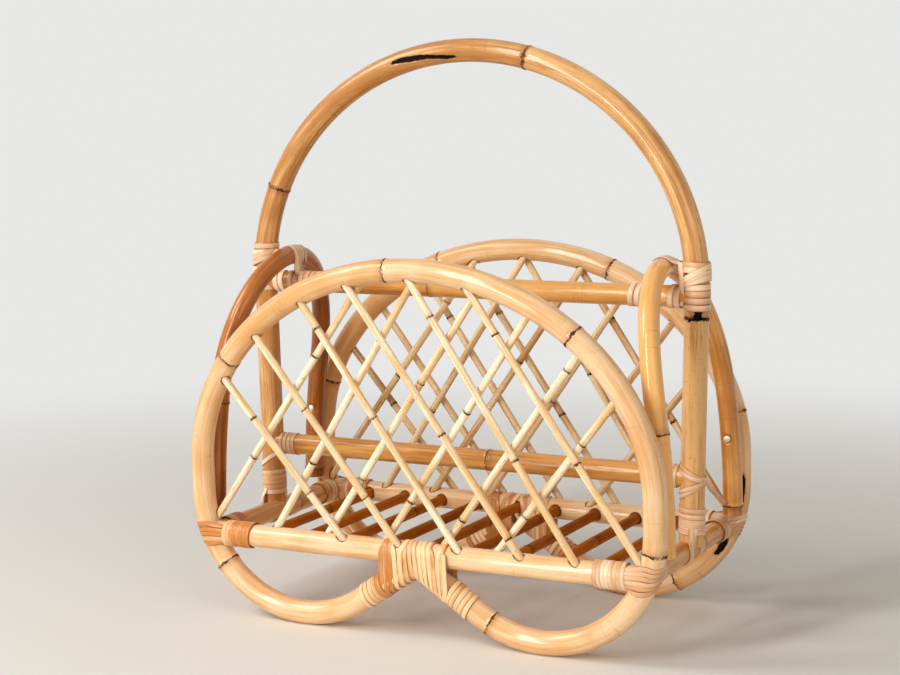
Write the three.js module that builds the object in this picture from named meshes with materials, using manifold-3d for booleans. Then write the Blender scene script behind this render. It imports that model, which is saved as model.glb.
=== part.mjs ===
// A rattan magazine basket with a tall carrying handle, in millimetres, +Z up.
// Two bent hoops stand on their own curled feet, one in front and one behind, and each holds
// a base rail and two layers of thin canes in drilled holes. A single pole makes both posts
// and the handle. Its feet stand on the end rails, two rails between the posts divide the
// basket, and an inverted U of darker cane braces each end. Flat cane peel binds the joints.
// The origin is on the floor, under the middle of the basket.
import * as THREE from "three";
import { mergeVertices } from "three/addons/utils/BufferGeometryUtils.js";
import ManifoldModule from "manifold-3d";

const wasm = await ManifoldModule();
wasm.setup();

// Hoops: the pole, its top arch and its two feet
const hoopPoleDiameter = 16.5;
const hoopHalfWidth = 174;
const hoopArchHeight = 110;
const hoopArchRise = 145;
const footBendShare = 0.4713;
const footMeetingDrop = 7;
const footEndGap = 0.8;
const footWearDepth = 0.7;
const frontNodeShares = [0.06, 0.214, 0.371, 0.517, 0.669, 0.829];
const rearNodeShares = [0.135, 0.28, 0.425, 0.57, 0.715, 0.86];

// Panels: how far apart the hoops stand and how they lean outwards
const panelHalfSpacing = 85;
const panelLeanDegrees = 2.3;

// Base frame
const railHeight = 59;
const baseRailDiameter = 16;
const endRailDiameter = 15;
const endRailInset = 4.1;

// Handle and posts
const handlePoleDiameter = 17;
const postFootOffset = 3.5;
const postSplay = 5;
const postTopDrop = 12;
const handleRise = 163;
const handleNodeShares = [0.172, 0.448, 0.724];

// Divider rails between the posts
const dividerRailDiameter = 15;
const middleRailHeight = 110;
const upperRailDrop = 20;

// End arches
const archPoleDiameter = 14.3;
const archHoopInset = 15;
const archLegLift = 11.5;
const archLegSteps = 3;
const archSpringHeight = 165;
const archTopHeight = 254;
const archPostGap = 7.4;
const archFootOverhang = 0.3;
const archBow = 2.2;
const archNodeShares = [0.153, 0.46, 0.85];

// Lattice canes, with the hand-set places where they cross the top of the base rail
const latticeCaneDiameter = 5.3;
const latticeLayerOffset = 2.95;
const latticeHoopSeat = 5;
const latticeRailSeat = 3.6;
const risingFootShares = [-0.959, -0.653, -0.41, -0.141, 0.116, 0.349];
const risingDegrees = [54.4, 57.5, 55.4, 55.4, 53.3, 51];
const fallingFootShares = [-0.339, -0.092, 0.176, 0.443, 0.673, 0.95];
const fallingDegrees = [49.1, 52.2, 54.8, 54.7, 57.4, 55.8];
const caneNodeShares = [0.27, 0.71];

// Floor dowels
const dowelDiameter = 7.5;
const dowelCount = 9;
const dowelEndInset = 39.3;
const dowelDrop = 0.5;
const dowelSeat = 4;

// Nails that hold the end arches to the hoops
const nailHeight = 126;
const nailHeadDiameter = 5.4;
const nailHeadThickness = 1.1;
const nailDomeShare = 0.6;
const nailShankDiameter = 2.2;
const nailSeat = 8;

// Cane peel bindings
const peelWidth = 4;
const peelThickness = 1;
const peelPitch = 4.7;
const peelClearance = 0.5;
const centreCrossingShares = [-0.0644, -0.0379, 0.0345, 0.0609, 0.0868, 0.1132];
const footTurns = 3.75;
const footWrapStart = 31;
const backTurnShare = 0.75;
const cornerRailTurns = 4;
const cornerEndTurns = 2;
const cornerSetback = 16;
const postFootTurns = 4;
const postUnderTurns = 0.7;
const postEndTurns = 1.3;
const postFootLift = 12.5;
const postFootSpread = 12;
const postTopTurns = 3.25;
const postTopLift = 6.4;
const upperRailTurns = 3;
const middleRailTurns = 3;
const railWrapSetback = 3.4;

// Fits and mesh counts
const seatGap = 0.35;
const holeClearance = 0.3;
const overrun = 12;
const nodeRidge = 0.55;
const nodeHalfLength = 2.4;
const caneRidge = 0.25;
const stationSpacing = 17;
const poleSides = 10;
const caneSides = 6;
const peelStepsPerTurn = 10;
const cornerSteps = 5;
const strapSteps = 4;

const hoopRadius = hoopPoleDiameter / 2;
const baseRailRadius = baseRailDiameter / 2;
const endRailRadius = endRailDiameter / 2;
const handleRadius = handlePoleDiameter / 2;
const dividerRadius = dividerRailDiameter / 2;
const archRadius = archPoleDiameter / 2;
const caneRadius = latticeCaneDiameter / 2;
const footBendRadius = hoopHalfWidth * footBendShare;
const archFootHalfSpacing = hoopHalfWidth + archFootOverhang;
const archHalfWidth = panelHalfSpacing - archHoopInset;
const archLegEndHeight = railHeight + archLegLift;
const centreCrossings = centreCrossingShares.map((share) => share * hoopHalfWidth);
const postTopHeight = archTopHeight - postTopDrop;
const upperRailHeight = archTopHeight - upperRailDrop;
const lean = THREE.MathUtils.degToRad(panelLeanDegrees);
const up = new THREE.Vector3(0, 0, 1);
const vec = (x, y, z) => new THREE.Vector3(x, y, z);

// Solids

function toSolid(geometry) {
  const bare = geometry.clone();
  bare.deleteAttribute("normal");
  bare.deleteAttribute("uv");
  const merged = mergeVertices(bare);
  return new wasm.Manifold(new wasm.Mesh({
    numProp: 3,
    vertProperties: new Float32Array(merged.attributes.position.array),
    triVerts: new Uint32Array(merged.index.array),
  }));
}

function toGeometry(solid) {
  const mesh = solid.getMesh();
  const geometry = new THREE.BufferGeometry();
  geometry.setAttribute("position", new THREE.BufferAttribute(new Float32Array(mesh.vertProperties), 3));
  geometry.setIndex(new THREE.BufferAttribute(new Uint32Array(mesh.triVerts), 1));
  geometry.computeVertexNormals();
  return geometry;
}

function cut(geometry, cutters) {
  let solid = toSolid(geometry);
  for (const cutter of cutters) {
    solid = solid.subtract(toSolid(cutter));
  }
  return toGeometry(solid);
}

function turnedTo(direction) {
  return new THREE.Quaternion().setFromUnitVectors(vec(0, 1, 0), direction.clone().normalize());
}

// A straight round rod from one point to another, in the basket's own frame.
function rod(start, end, radius, sides) {
  const axis = end.clone().sub(start);
  const geometry = new THREE.CylinderGeometry(radius, radius, axis.length(), sides);
  geometry.applyQuaternion(turnedTo(axis));
  return geometry.translate(...start.clone().add(end).multiplyScalar(0.5).toArray());
}

// A block from its lowest to its highest corner.
function block(low, high) {
  const size = high.clone().sub(low);
  const middle = high.clone().add(low).multiplyScalar(0.5);
  return new THREE.BoxGeometry(size.x, size.y, size.z).translate(...middle.toArray());
}

// Bent poles

// A curve that is drawn flat, placed in space, and sampled at chosen stations.
class PolePath extends THREE.Curve {
  constructor(flat, place, stations) {
    super();
    this.flat = flat;
    this.place = place;
    this.stations = stations;
  }

  getPoint(share) {
    const point = this.flat.getPoint(share);
    return this.place(point.x, point.y);
  }

  stationAt(share) {
    return this.stations[Math.round(share * (this.stations.length - 1))];
  }

  getPointAt(share) {
    return this.getPoint(this.stationAt(share));
  }

  getTangentAt(share) {
    return this.getTangent(this.stationAt(share));
  }
}

// Stations along a pole: its straight runs need none between their ends, its bends have even
// ones, and each cane node has three close ones.
function poleStations(flat, nodeShares) {
  const length = flat.getLength();
  const nodeHalfShare = nodeHalfLength / length;
  const spacingShare = stationSpacing / length;
  const clearOfNodes = (share) => nodeShares.every((node) => Math.abs(share - node) > spacingShare / 2);
  const plain = [];
  let travelled = 0;
  for (const curve of flat.curves) {
    const run = curve.getLength();
    const count = curve.isLineCurve ? 1 : Math.ceil(run / stationSpacing);
    for (let i = 1; i <= count; i += 1) {
      plain.push((travelled + (run * i) / count) / length);
    }
    travelled += run;
  }
  plain.pop();
  const close = nodeShares.flatMap((node) => [node - nodeHalfShare, node, node + nodeHalfShare]);
  return [0, ...[...plain.filter(clearOfNodes), ...close].sort((a, b) => a - b), 1];
}

// A round pole along a flat outline, with a low ridge round it at each node.
function bentPole(flat, place, radius, nodeShares) {
  const stations = poleStations(flat, nodeShares);
  const path = new PolePath(flat, place, stations);
  const corners = Array.from({ length: poleSides }, (_, i) => {
    const angle = ((i + 0.5) / poleSides) * 2 * Math.PI;
    return new THREE.Vector2(radius * Math.cos(angle), radius * Math.sin(angle));
  });
  const geometry = new THREE.ExtrudeGeometry(new THREE.Shape(corners), {
    steps: stations.length - 1, bevelEnabled: false, extrudePath: path,
  });
  const centres = stations.map((share) => path.getPoint(share));
  const position = geometry.attributes.position;
  const vertex = new THREE.Vector3();
  for (let i = 0; i < position.count; i += 1) {
    vertex.fromBufferAttribute(position, i);
    const distances = centres.map((centre) => centre.distanceToSquared(vertex));
    const nearest = distances.indexOf(Math.min(...distances));
    if (nodeShares.includes(stations[nearest])) {
      const centre = centres[nearest];
      vertex.sub(centre).multiplyScalar((radius + nodeRidge) / radius).add(centre);
      position.setXYZ(i, vertex.x, vertex.y, vertex.z);
    }
  }
  return geometry;
}

// Panels: a hoop, its base rail and its lattice

// A place on a panel: along it, up from its base rail, and out from its middle plane.
function onPanel(side, along, rise, out = 0) {
  return vec(
    along,
    side * (panelHalfSpacing + rise * Math.sin(lean) + out * Math.cos(lean)),
    railHeight + rise * Math.cos(lean) - out * Math.sin(lean),
  );
}

const footLowest = (hoopRadius - footWearDepth - railHeight) / Math.cos(lean);
const footCentre = new THREE.Vector2(hoopHalfWidth - footBendRadius, footLowest + footBendRadius);
const archCentre = new THREE.Vector2(0, hoopArchHeight - railHeight);
const meeting = new THREE.Vector2(0, -footMeetingDrop);
const hoopAtRail = footCentre.x + Math.sqrt(footBendRadius ** 2 - footCentre.y ** 2);
const endRailHalfSpacing = hoopAtRail - endRailInset;
const postFootHalfSpacing = endRailHalfSpacing + postFootOffset;
const postTopHalfSpacing = postFootHalfSpacing + postSplay;

// Where the straight end of a foot leaves its bend.
function footTangentAngle() {
  const toMeeting = meeting.clone().sub(footCentre);
  const base = Math.atan2(toMeeting.y, toMeeting.x);
  return base + Math.acos(footBendRadius / toMeeting.length());
}

// The way a foot's straight end runs down and out from the middle of the panel.
function footFall() {
  const tangent = footTangentAngle();
  return new THREE.Vector2(-Math.sin(tangent), Math.cos(tangent));
}

// Both ends are cut square, and their lower edges nearly meet at the middle of the panel.
function hoopOutline() {
  const tangent = footTangentAngle();
  const fall = footFall();
  const setback = (footEndGap / 2 + hoopRadius * Math.abs(fall.y)) / fall.x;
  const start = meeting.clone().addScaledVector(fall, setback);
  const outline = new THREE.Path();
  outline.moveTo(start.x, start.y);
  outline.lineTo(
    footCentre.x + footBendRadius * Math.cos(tangent),
    footCentre.y + footBendRadius * Math.sin(tangent),
  );
  outline.absarc(footCentre.x, footCentre.y, footBendRadius, tangent, 0, false);
  outline.lineTo(hoopHalfWidth, archCentre.y);
  outline.absellipse(archCentre.x, archCentre.y, hoopHalfWidth, hoopArchRise, 0, Math.PI, false);
  outline.lineTo(-hoopHalfWidth, footCentre.y);
  outline.absarc(-footCentre.x, footCentre.y, footBendRadius, Math.PI, 3 * Math.PI - tangent, false);
  outline.lineTo(-start.x, start.y);
  return outline;
}

function hoopPole(side, radius, nodeShares) {
  return bentPole(hoopOutline(), (x, y) => onPanel(side, x, y), radius, nodeShares);
}

// How far along a ray from a point inside an ellipse its outline lies.
function reachEllipse(from, direction, centre, halfWidth, halfHeight) {
  const px = (from.x - centre.x) / halfWidth;
  const py = (from.y - centre.y) / halfHeight;
  const dx = direction.x / halfWidth;
  const dy = direction.y / halfHeight;
  const a = dx * dx + dy * dy;
  const b = px * dx + py * dy;
  const c = px * px + py * py - 1;
  return (-b + Math.sqrt(b * b - a * c)) / a;
}

// Both ends of one lattice cane on its panel. A cane whose foot lands past the end of the
// rail is seated in the hoop at both ends, and the others in the hoop and the rail.
function caneEnds(footShare, degrees, slope) {
  const angle = THREE.MathUtils.degToRad(degrees);
  const climb = new THREE.Vector2(slope * Math.cos(angle), Math.sin(angle));
  const foot = new THREE.Vector2(footShare * hoopHalfWidth, baseRailRadius);
  const inset = hoopRadius - latticeHoopSeat;
  const reach = reachEllipse(foot, climb, archCentre, hoopHalfWidth - inset, hoopArchRise - inset);
  const top = foot.clone().addScaledVector(climb, reach);
  const railTop = Math.sqrt(baseRailRadius ** 2 - latticeLayerOffset ** 2);
  const drop = (baseRailRadius - railTop + latticeRailSeat) / climb.y;
  const bottom = foot.clone().addScaledVector(climb, -drop);
  if (Math.abs(foot.x) > hoopAtRail - hoopRadius) {
    const inFoot = new THREE.Vector2(Math.sign(foot.x) * footCentre.x, footCentre.y);
    const above = foot.clone().addScaledVector(climb, footBendRadius - inset);
    const fall = climb.clone().negate();
    const bend = footBendRadius - inset;
    bottom.copy(above).addScaledVector(fall, reachEllipse(above, fall, inFoot, bend, bend));
  }
  return { bottom, top };
}

function latticeCanes(side) {
  const layer = (shares, degrees, slope, out, name) => shares.map((share, i) => {
    const { bottom, top } = caneEnds(share, degrees[i], slope);
    return {
      name: `${name}_${i + 1}`,
      start: onPanel(side, bottom.x, bottom.y, out),
      end: onPanel(side, top.x, top.y, out),
    };
  });
  return [
    ...layer(risingFootShares, risingDegrees, 1, -latticeLayerOffset, "rising_cane"),
    ...layer(fallingFootShares, fallingDegrees, -1, latticeLayerOffset, "falling_cane"),
  ];
}

// The hole for a straight piece, longer than the piece at its seated ends.
function boreFor(start, end, radius) {
  const direction = end.clone().sub(start).normalize();
  return rod(
    start.clone().addScaledVector(direction, -holeClearance),
    end.clone().addScaledVector(direction, holeClearance),
    radius + holeClearance, caneSides + 2,
  );
}

// Only the last stretch of a hole is cut at each end, where the piece is seated.
function endBores(piece, radius) {
  const direction = piece.end.clone().sub(piece.start).normalize();
  const nearStart = piece.start.clone().addScaledVector(direction, overrun);
  const nearEnd = piece.end.clone().addScaledVector(direction, -overrun);
  return { foot: boreFor(piece.start, nearStart, radius), head: boreFor(nearEnd, piece.end, radius) };
}

function baseRailRod(side, radius) {
  return rod(onPanel(side, -hoopAtRail, 0), onPanel(side, hoopAtRail, 0), radius, poleSides);
}

// A cane with a low ridge at each of its nodes, along +Y from its foot.
function caneGeometry(length) {
  const profile = [new THREE.Vector2(0, 0), new THREE.Vector2(caneRadius, 0)];
  for (const share of caneNodeShares) {
    profile.push(new THREE.Vector2(caneRadius, share * length - nodeHalfLength));
    profile.push(new THREE.Vector2(caneRadius + caneRidge, share * length));
    profile.push(new THREE.Vector2(caneRadius, share * length + nodeHalfLength));
  }
  profile.push(new THREE.Vector2(caneRadius, length), new THREE.Vector2(0, length));
  return new THREE.LatheGeometry(profile, caneSides);
}

// Frame pieces

function endRailRod(end, radius) {
  const x = end * endRailHalfSpacing;
  return rod(vec(x, -panelHalfSpacing, railHeight), vec(x, panelHalfSpacing, railHeight), radius, poleSides);
}

function handlePole(radius) {
  const outline = new THREE.Path();
  outline.moveTo(postFootHalfSpacing, railHeight + endRailRadius / 2);
  outline.lineTo(postTopHalfSpacing, postTopHeight);
  outline.absellipse(0, postTopHeight, postTopHalfSpacing, handleRise, 0, Math.PI, false);
  outline.lineTo(-postFootHalfSpacing, railHeight + endRailRadius / 2);
  return bentPole(outline, (x, z) => vec(x, 0, z), radius, handleNodeShares);
}

// How far out a post's middle is at a height, on its straight run or in the handle's bend.
function postAt(height) {
  const share = (height - railHeight) / (postTopHeight - railHeight);
  const rise = Math.max(height - postTopHeight, 0) / handleRise;
  const straight = THREE.MathUtils.lerp(postFootHalfSpacing, postTopHalfSpacing, Math.min(share, 1));
  return straight * Math.sqrt(1 - rise * rise);
}

function dividerRod(height, radius) {
  const reach = postAt(height);
  return rod(vec(-reach, 0, height), vec(reach, 0, height), radius, poleSides);
}

const archTopHalfSpacing = postAt(archTopHeight) - handleRadius - archPostGap - archRadius;

// How far out an end arch is at a height: it bows out from its top towards its feet.
function archAt(height) {
  const rise = (height - archLegEndHeight) / (archTopHeight - archLegEndHeight);
  return THREE.MathUtils.lerp(archFootHalfSpacing, archTopHalfSpacing, rise ** archBow);
}

function endArchPole(end) {
  const outline = new THREE.Path();
  const legStop = (step) => THREE.MathUtils.lerp(archLegEndHeight, archSpringHeight, step / archLegSteps);
  outline.moveTo(-archHalfWidth, archLegEndHeight);
  for (let step = 1; step <= archLegSteps; step += 1) {
    outline.lineTo(-archHalfWidth, legStop(step));
  }
  outline.absellipse(0, archSpringHeight, archHalfWidth, archTopHeight - archSpringHeight, Math.PI, 0, true);
  for (let step = archLegSteps - 1; step >= 0; step -= 1) {
    outline.lineTo(archHalfWidth, legStop(step));
  }
  return bentPole(outline, (y, z) => vec(end * archAt(z), y, z), archRadius, archNodeShares);
}

// A nail driven from inside through an arch leg into the hoop beside it.
function nailLine(end, side) {
  const leg = vec(end * archAt(nailHeight), side * archHalfWidth, nailHeight);
  const rise = (nailHeight - hoopArchHeight) / hoopArchRise;
  const hoop = onPanel(side, 0, (nailHeight - railHeight) / Math.cos(lean));
  hoop.x = end * hoopHalfWidth * Math.sqrt(1 - rise * rise);
  const direction = hoop.clone().sub(leg).normalize();
  return { leg, direction, length: leg.distanceTo(hoop) + archRadius - hoopRadius + nailSeat };
}

function nailGeometry(length) {
  const shank = nailShankDiameter / 2;
  const head = nailHeadDiameter / 2;
  return new THREE.LatheGeometry([
    new THREE.Vector2(0, -nailHeadThickness),
    new THREE.Vector2(head * nailDomeShare, -nailHeadThickness),
    new THREE.Vector2(head, 0),
    new THREE.Vector2(shank, 0),
    new THREE.Vector2(shank, length - nailShankDiameter),
    new THREE.Vector2(0, length),
  ], caneSides + 2);
}

// Bindings of cane peel

const peelRadius = (radius) => (radius + peelClearance) / Math.cos(Math.PI / peelStepsPerTurn);

// A helix of peel round a straight pole, as points on its inner face with their normals.
function coil(start, along, first, second, radius, turns, pitch = peelPitch) {
  const steps = Math.round(turns * peelStepsPerTurn);
  return Array.from({ length: steps + 1 }, (_, i) => {
    const turn = i / peelStepsPerTurn;
    const angle = turn * 2 * Math.PI;
    const normal = first.clone().multiplyScalar(Math.cos(angle)).addScaledVector(second, Math.sin(angle));
    const point = start.clone().addScaledVector(along, turn * pitch).addScaledVector(normal, radius);
    return { point, normal };
  });
}

// One flat strip of peel along a trail of points, with a straight tail at each end.
function peelStrip(trail) {
  const tail = (end, before) => ({
    point: end.point.clone().add(end.point.clone().sub(before.point).setLength(peelWidth)),
    normal: end.normal,
  });
  const stops = [tail(trail[0], trail[1]), ...trail, tail(trail.at(-1), trail.at(-2))];
  const positions = [];
  const edges = [];
  stops.forEach((stop, i) => {
    const before = stops[Math.max(i - 1, 0)].point;
    const after = stops[Math.min(i + 1, stops.length - 1)].point;
    const tangent = after.clone().sub(before).normalize();
    const across = tangent.clone().cross(stop.normal).normalize();
    const outward = across.clone().cross(tangent);
    for (const [wide, high] of [[-1, 0], [1, 0], [1, 1], [-1, 1]]) {
      positions.push(...stop.point.clone()
        .addScaledVector(across, wide * peelWidth / 2)
        .addScaledVector(outward, high * peelThickness).toArray());
    }
    edges.push(stop.point.clone().addScaledVector(across, -peelWidth / 2));
    edges.push(stop.point.clone().addScaledVector(across, peelWidth / 2));
  });
  const faces = [0, 1, 2, 0, 2, 3];
  const last = (stops.length - 1) * 4;
  for (let i = 0; i < stops.length - 1; i += 1) {
    for (let j = 0; j < 4; j += 1) {
      const a = i * 4 + j;
      const b = i * 4 + (j + 1) % 4;
      faces.push(a, a + 4, b, b, a + 4, b + 4);
    }
  }
  faces.push(last, last + 2, last + 1, last, last + 3, last + 2);
  const geometry = new THREE.BufferGeometry();
  geometry.setAttribute("position", new THREE.Float32BufferAttribute(positions, 3));
  geometry.setIndex(faces);
  geometry.computeVertexNormals();
  return { geometry, gap: leastGap(edges) };
}

// The least distance between edges of the strip that are half a turn or more apart.
function leastGap(edges) {
  let least = Infinity;
  for (let i = 0; i < edges.length; i += 1) {
    for (let j = i + peelStepsPerTurn; j < edges.length; j += 1) {
      least = Math.min(least, edges[i].distanceTo(edges[j]));
    }
  }
  return least;
}

// The middle binding ties both ends of the hoop under the base rail. It winds round one foot,
// goes up behind the rail, passes round the rail and the foot ends together on both sides of
// the middle dowel, and winds round the other foot. It sets out for the last of its crossings
// but turns down to that foot first.
function centreTrail(side) {
  const foot = peelRadius(hoopRadius);
  const fall = footFall();
  const origin = onPanel(side, 0, 0);
  const front = onPanel(side, 0, 0, 1).sub(origin);
  const risen = onPanel(side, 0, 1).sub(origin);
  const rounds = centreCrossings.length - 2;
  // Each round slants forwards along the front and below, and comes straight up at the back.
  const roundAlong = (turn) => {
    const k = Math.max(Math.floor(turn), 0);
    const share = THREE.MathUtils.clamp((turn - k) / backTurnShare, 0, 1);
    return THREE.MathUtils.lerp(centreCrossings[k], centreCrossings[k + 1], share);
  };
  const roundStop = (turn) => {
    const angle = turn * 2 * Math.PI;
    const along = roundAlong(turn);
    const slack = (Math.abs(along) + peelWidth / 2) * fall.y / fall.x + foot - foot / fall.x;
    const centre = onPanel(side, along, Math.cos(angle) < 0 ? meeting.y + slack : 0);
    const normal = risen.clone().multiplyScalar(Math.cos(angle)).addScaledVector(front, Math.sin(angle));
    return { point: centre.addScaledVector(normal, foot), normal };
  };
  // Turns round one foot, which start at a distance from the middle of the panel.
  const footCoil = (hand, from, direction, first, second) => {
    const along = onPanel(side, hand * fall.x, fall.y).sub(origin);
    const start = onPanel(side, meeting.x, meeting.y).addScaledVector(along, from);
    return coil(start, along.multiplyScalar(direction), first, second, foot, footTurns);
  };
  const leftTop = onPanel(side, fall.y, fall.x).sub(origin);
  const rightUnder = onPanel(side, fall.y, -fall.x).sub(origin);
  const trail = footCoil(-1, footWrapStart + footTurns * peelPitch, -1, leftTop, front);
  const overTop = peelStepsPerTurn / 5;
  for (let i = -overTop; i <= rounds * peelStepsPerTurn + overTop; i += 1) {
    trail.push(roundStop(i / peelStepsPerTurn));
  }
  trail.push(...footCoil(1, footWrapStart, 1, front, rightUnder));
  return trail;
}

// A corner binding winds round the base rail, crosses outside the hoop, and winds round
// the end rail.
function cornerTrail(end, side) {
  const corner = vec(end * hoopAtRail, side * panelHalfSpacing, railHeight);
  const inX = vec(-end, 0, 0);
  const inY = vec(0, -side, 0);
  const outX = inX.clone().negate();
  const outY = inY.clone().negate();
  const base = peelRadius(baseRailRadius);
  const endRail = peelRadius(endRailRadius);
  const hoop = peelRadius(hoopRadius * footBendRadius / Math.sqrt(footBendRadius ** 2 - footCentre.y ** 2));
  const railStart = corner.clone().addScaledVector(inX, cornerSetback + cornerRailTurns * peelPitch);
  const trail = coil(railStart, outX, outY, up, base, cornerRailTurns);
  for (let i = 0; i <= cornerSteps; i += 1) {
    const angle = (i / cornerSteps) * (Math.PI / 2);
    const normal = outY.clone().multiplyScalar(Math.cos(angle)).addScaledVector(outX, Math.sin(angle));
    trail.push({ point: corner.clone().addScaledVector(normal, hoop), normal });
  }
  const endStart = vec(end * endRailHalfSpacing, side * (panelHalfSpacing - cornerSetback), railHeight);
  trail.push(...coil(endStart, inY, outX, up.clone().negate(), endRail, cornerEndTurns));
  return trail;
}

// A post foot binding winds down the post, passes under the end rail and winds round it.
function postFootTrail(end) {
  const out = vec(end, 0, 0);
  const front = vec(0, -1, 0);
  const back = vec(0, 1, 0);
  const down = up.clone().negate();
  const post = peelRadius(handleRadius);
  const rail = peelRadius(endRailRadius);
  const low = railHeight + postFootLift;
  const high = low + postFootTurns * peelPitch;
  const splay = vec(end * (postAt(low) - postAt(high)), 0, low - high).normalize();
  const trail = coil(vec(end * postAt(high), 0, high), splay, front, out, post, postFootTurns);
  const railFrom = vec(end * endRailHalfSpacing, -postFootSpread, railHeight);
  const under = coil(railFrom, back, out, down, rail, postUnderTurns, postFootSpread * 2 / postUnderTurns);
  trail.push(...under);
  const railTo = vec(end * endRailHalfSpacing, postFootSpread, railHeight);
  const { normal } = under.at(-1);
  const next = normal.clone().cross(back).multiplyScalar(-end);
  trail.push(...coil(railTo, back, normal, next, rail, postEndTurns).slice(1));
  return trail;
}

// A post top binding winds round the upper rail, straps over the end arch, and winds down
// the post behind the arch.
function postTopTrail(end) {
  const inwards = vec(-end, 0, 0);
  const out = vec(end, 0, 0);
  const front = vec(0, -1, 0);
  const back = vec(0, 1, 0);
  const rail = peelRadius(dividerRadius);
  const arch = peelRadius(archRadius);
  const post = peelRadius(handleRadius);
  const railEnd = archTopHalfSpacing - archRadius - railWrapSetback;
  const railStart = vec(end * (railEnd - upperRailTurns * peelPitch), 0, upperRailHeight);
  const trail = coil(railStart, out, front, up, rail, upperRailTurns);
  for (let i = 0; i <= strapSteps; i += 1) {
    const share = i / strapSteps;
    const angle = THREE.MathUtils.lerp(-Math.PI / 6, Math.PI / 2, share);
    const normal = inwards.clone().multiplyScalar(Math.cos(angle)).addScaledVector(up, Math.sin(angle));
    const point = vec(end * archTopHalfSpacing, 0, archTopHeight).addScaledVector(normal, arch);
    point.y = THREE.MathUtils.lerp(-dividerRadius / 2, dividerRadius, share);
    trail.push({ point, normal });
  }
  const high = archTopHeight + postTopLift;
  const low = high - postTopTurns * peelPitch;
  const splay = vec(end * (postAt(low) - postAt(high)), 0, low - high).normalize();
  trail.push(...coil(vec(end * postAt(high), 0, high), splay, back, out, post, postTopTurns));
  return trail;
}

function middleRailTrail(end) {
  const inwards = vec(-end, 0, 0);
  const start = postAt(middleRailHeight) - handleRadius - railWrapSetback;
  return coil(vec(end * start, 0, middleRailHeight), inwards, up, vec(0, -1, 0),
    peelRadius(dividerRadius), middleRailTurns);
}

// Finishes

const finish = (color, roughness) => new THREE.MeshStandardMaterial({ color, roughness, metalness: 0 });
const paleCane = finish(0xf0c68e, 0.42);
const handleCane = finish(0xd9995a, 0.42);
const rawCane = finish(0xf3e2bf, 0.6);
const darkCane = finish(0x9a5a24, 0.4);
const dowelCane = finish(0x8a4f24, 0.45);
const railCane = finish(0xd08a42, 0.42);
const peel = finish(0xe2b48c, 0.55);
const nailSteel = new THREE.MeshStandardMaterial({ color: 0x8d8273, roughness: 0.4, metalness: 0.8 });

// Assembly

const basket = new THREE.Group();

function addPiece(parent, name, geometry, material) {
  const mesh = new THREE.Mesh(geometry, material);
  mesh.name = name;
  parent.add(mesh);
  return mesh;
}

// A straight piece whose own +Y runs from its start to its end.
function addAlong(parent, name, geometry, material, start, direction) {
  const mesh = addPiece(parent, name, geometry, material);
  mesh.position.copy(start);
  mesh.quaternion.copy(turnedTo(direction));
}

const dowelLines = Array.from({ length: dowelCount }, (_, i) => {
  const x = (hoopAtRail - dowelEndInset) * (2 * i / (dowelCount - 1) - 1);
  const reach = panelHalfSpacing - baseRailRadius + dowelSeat;
  const z = railHeight - dowelDrop;
  return { name: `floor_dowel_${i + 1}`, start: vec(x, -reach, z), end: vec(x, reach, z) };
});
const dowelBores = dowelLines.map((dowel) => endBores(dowel, dowelDiameter / 2));
const nails = [-1, 1].flatMap((end) => [-1, 1].map((side) => ({
  name: `${side < 0 ? "front" : "rear"}_${end < 0 ? "left" : "right"}_arch_nail`,
  end,
  ...nailLine(end, side),
})));
const nailBores = nails.map((nail) => boreFor(
  nail.leg.clone().addScaledVector(nail.direction, -archRadius * 2),
  nail.leg.clone().addScaledVector(nail.direction, nail.length - archRadius),
  nailShankDiameter / 2,
));
const hoopReliefs = [
  hoopPole(-1, hoopRadius + seatGap, frontNodeShares),
  hoopPole(1, hoopRadius + seatGap, rearNodeShares),
];
const railReliefs = [-1, 1].map((side) => baseRailRod(side, baseRailRadius + seatGap));
const handleRelief = handlePole(handleRadius + seatGap);

function addPanel(side, word, nodeShares) {
  const panel = new THREE.Group();
  const canes = latticeCanes(side);
  const bores = canes.map((cane) => endBores(cane, caneRadius));
  const reach = footCentre.x;
  const notchRadius = (Math.max(baseRailRadius, hoopRadius) + seatGap) / Math.cos(Math.PI / poleSides);
  const railNotch = rod(onPanel(side, -reach, 0), onPanel(side, reach, 0), notchRadius, poleSides);
  const depth = panelHalfSpacing + hoopRadius + overrun;
  const width = hoopHalfWidth + hoopRadius + overrun;
  const floorCut = block(vec(-width, -depth, -overrun), vec(width, depth, 0));
  const hoop = cut(hoopPole(side, hoopRadius, nodeShares), [
    floorCut, railNotch, ...bores.flatMap((bore) => [bore.foot, bore.head]), ...nailBores,
  ]);
  addPiece(panel, `${word}_hoop`, hoop, paleCane);
  const rail = cut(baseRailRod(side, baseRailRadius), [
    ...hoopReliefs, ...bores.map((bore) => bore.foot),
    ...dowelBores.map((bore) => (side < 0 ? bore.foot : bore.head)),
  ]);
  addPiece(panel, `${word}_base_rail`, rail, paleCane);
  for (const cane of canes) {
    const length = cane.start.distanceTo(cane.end);
    addAlong(panel, `${word}_${cane.name}`, caneGeometry(length), rawCane, cane.start,
      cane.end.clone().sub(cane.start));
  }
  basket.add(panel);
}

addPanel(-1, "front", frontNodeShares);
addPanel(1, "rear", rearNodeShares);

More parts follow.
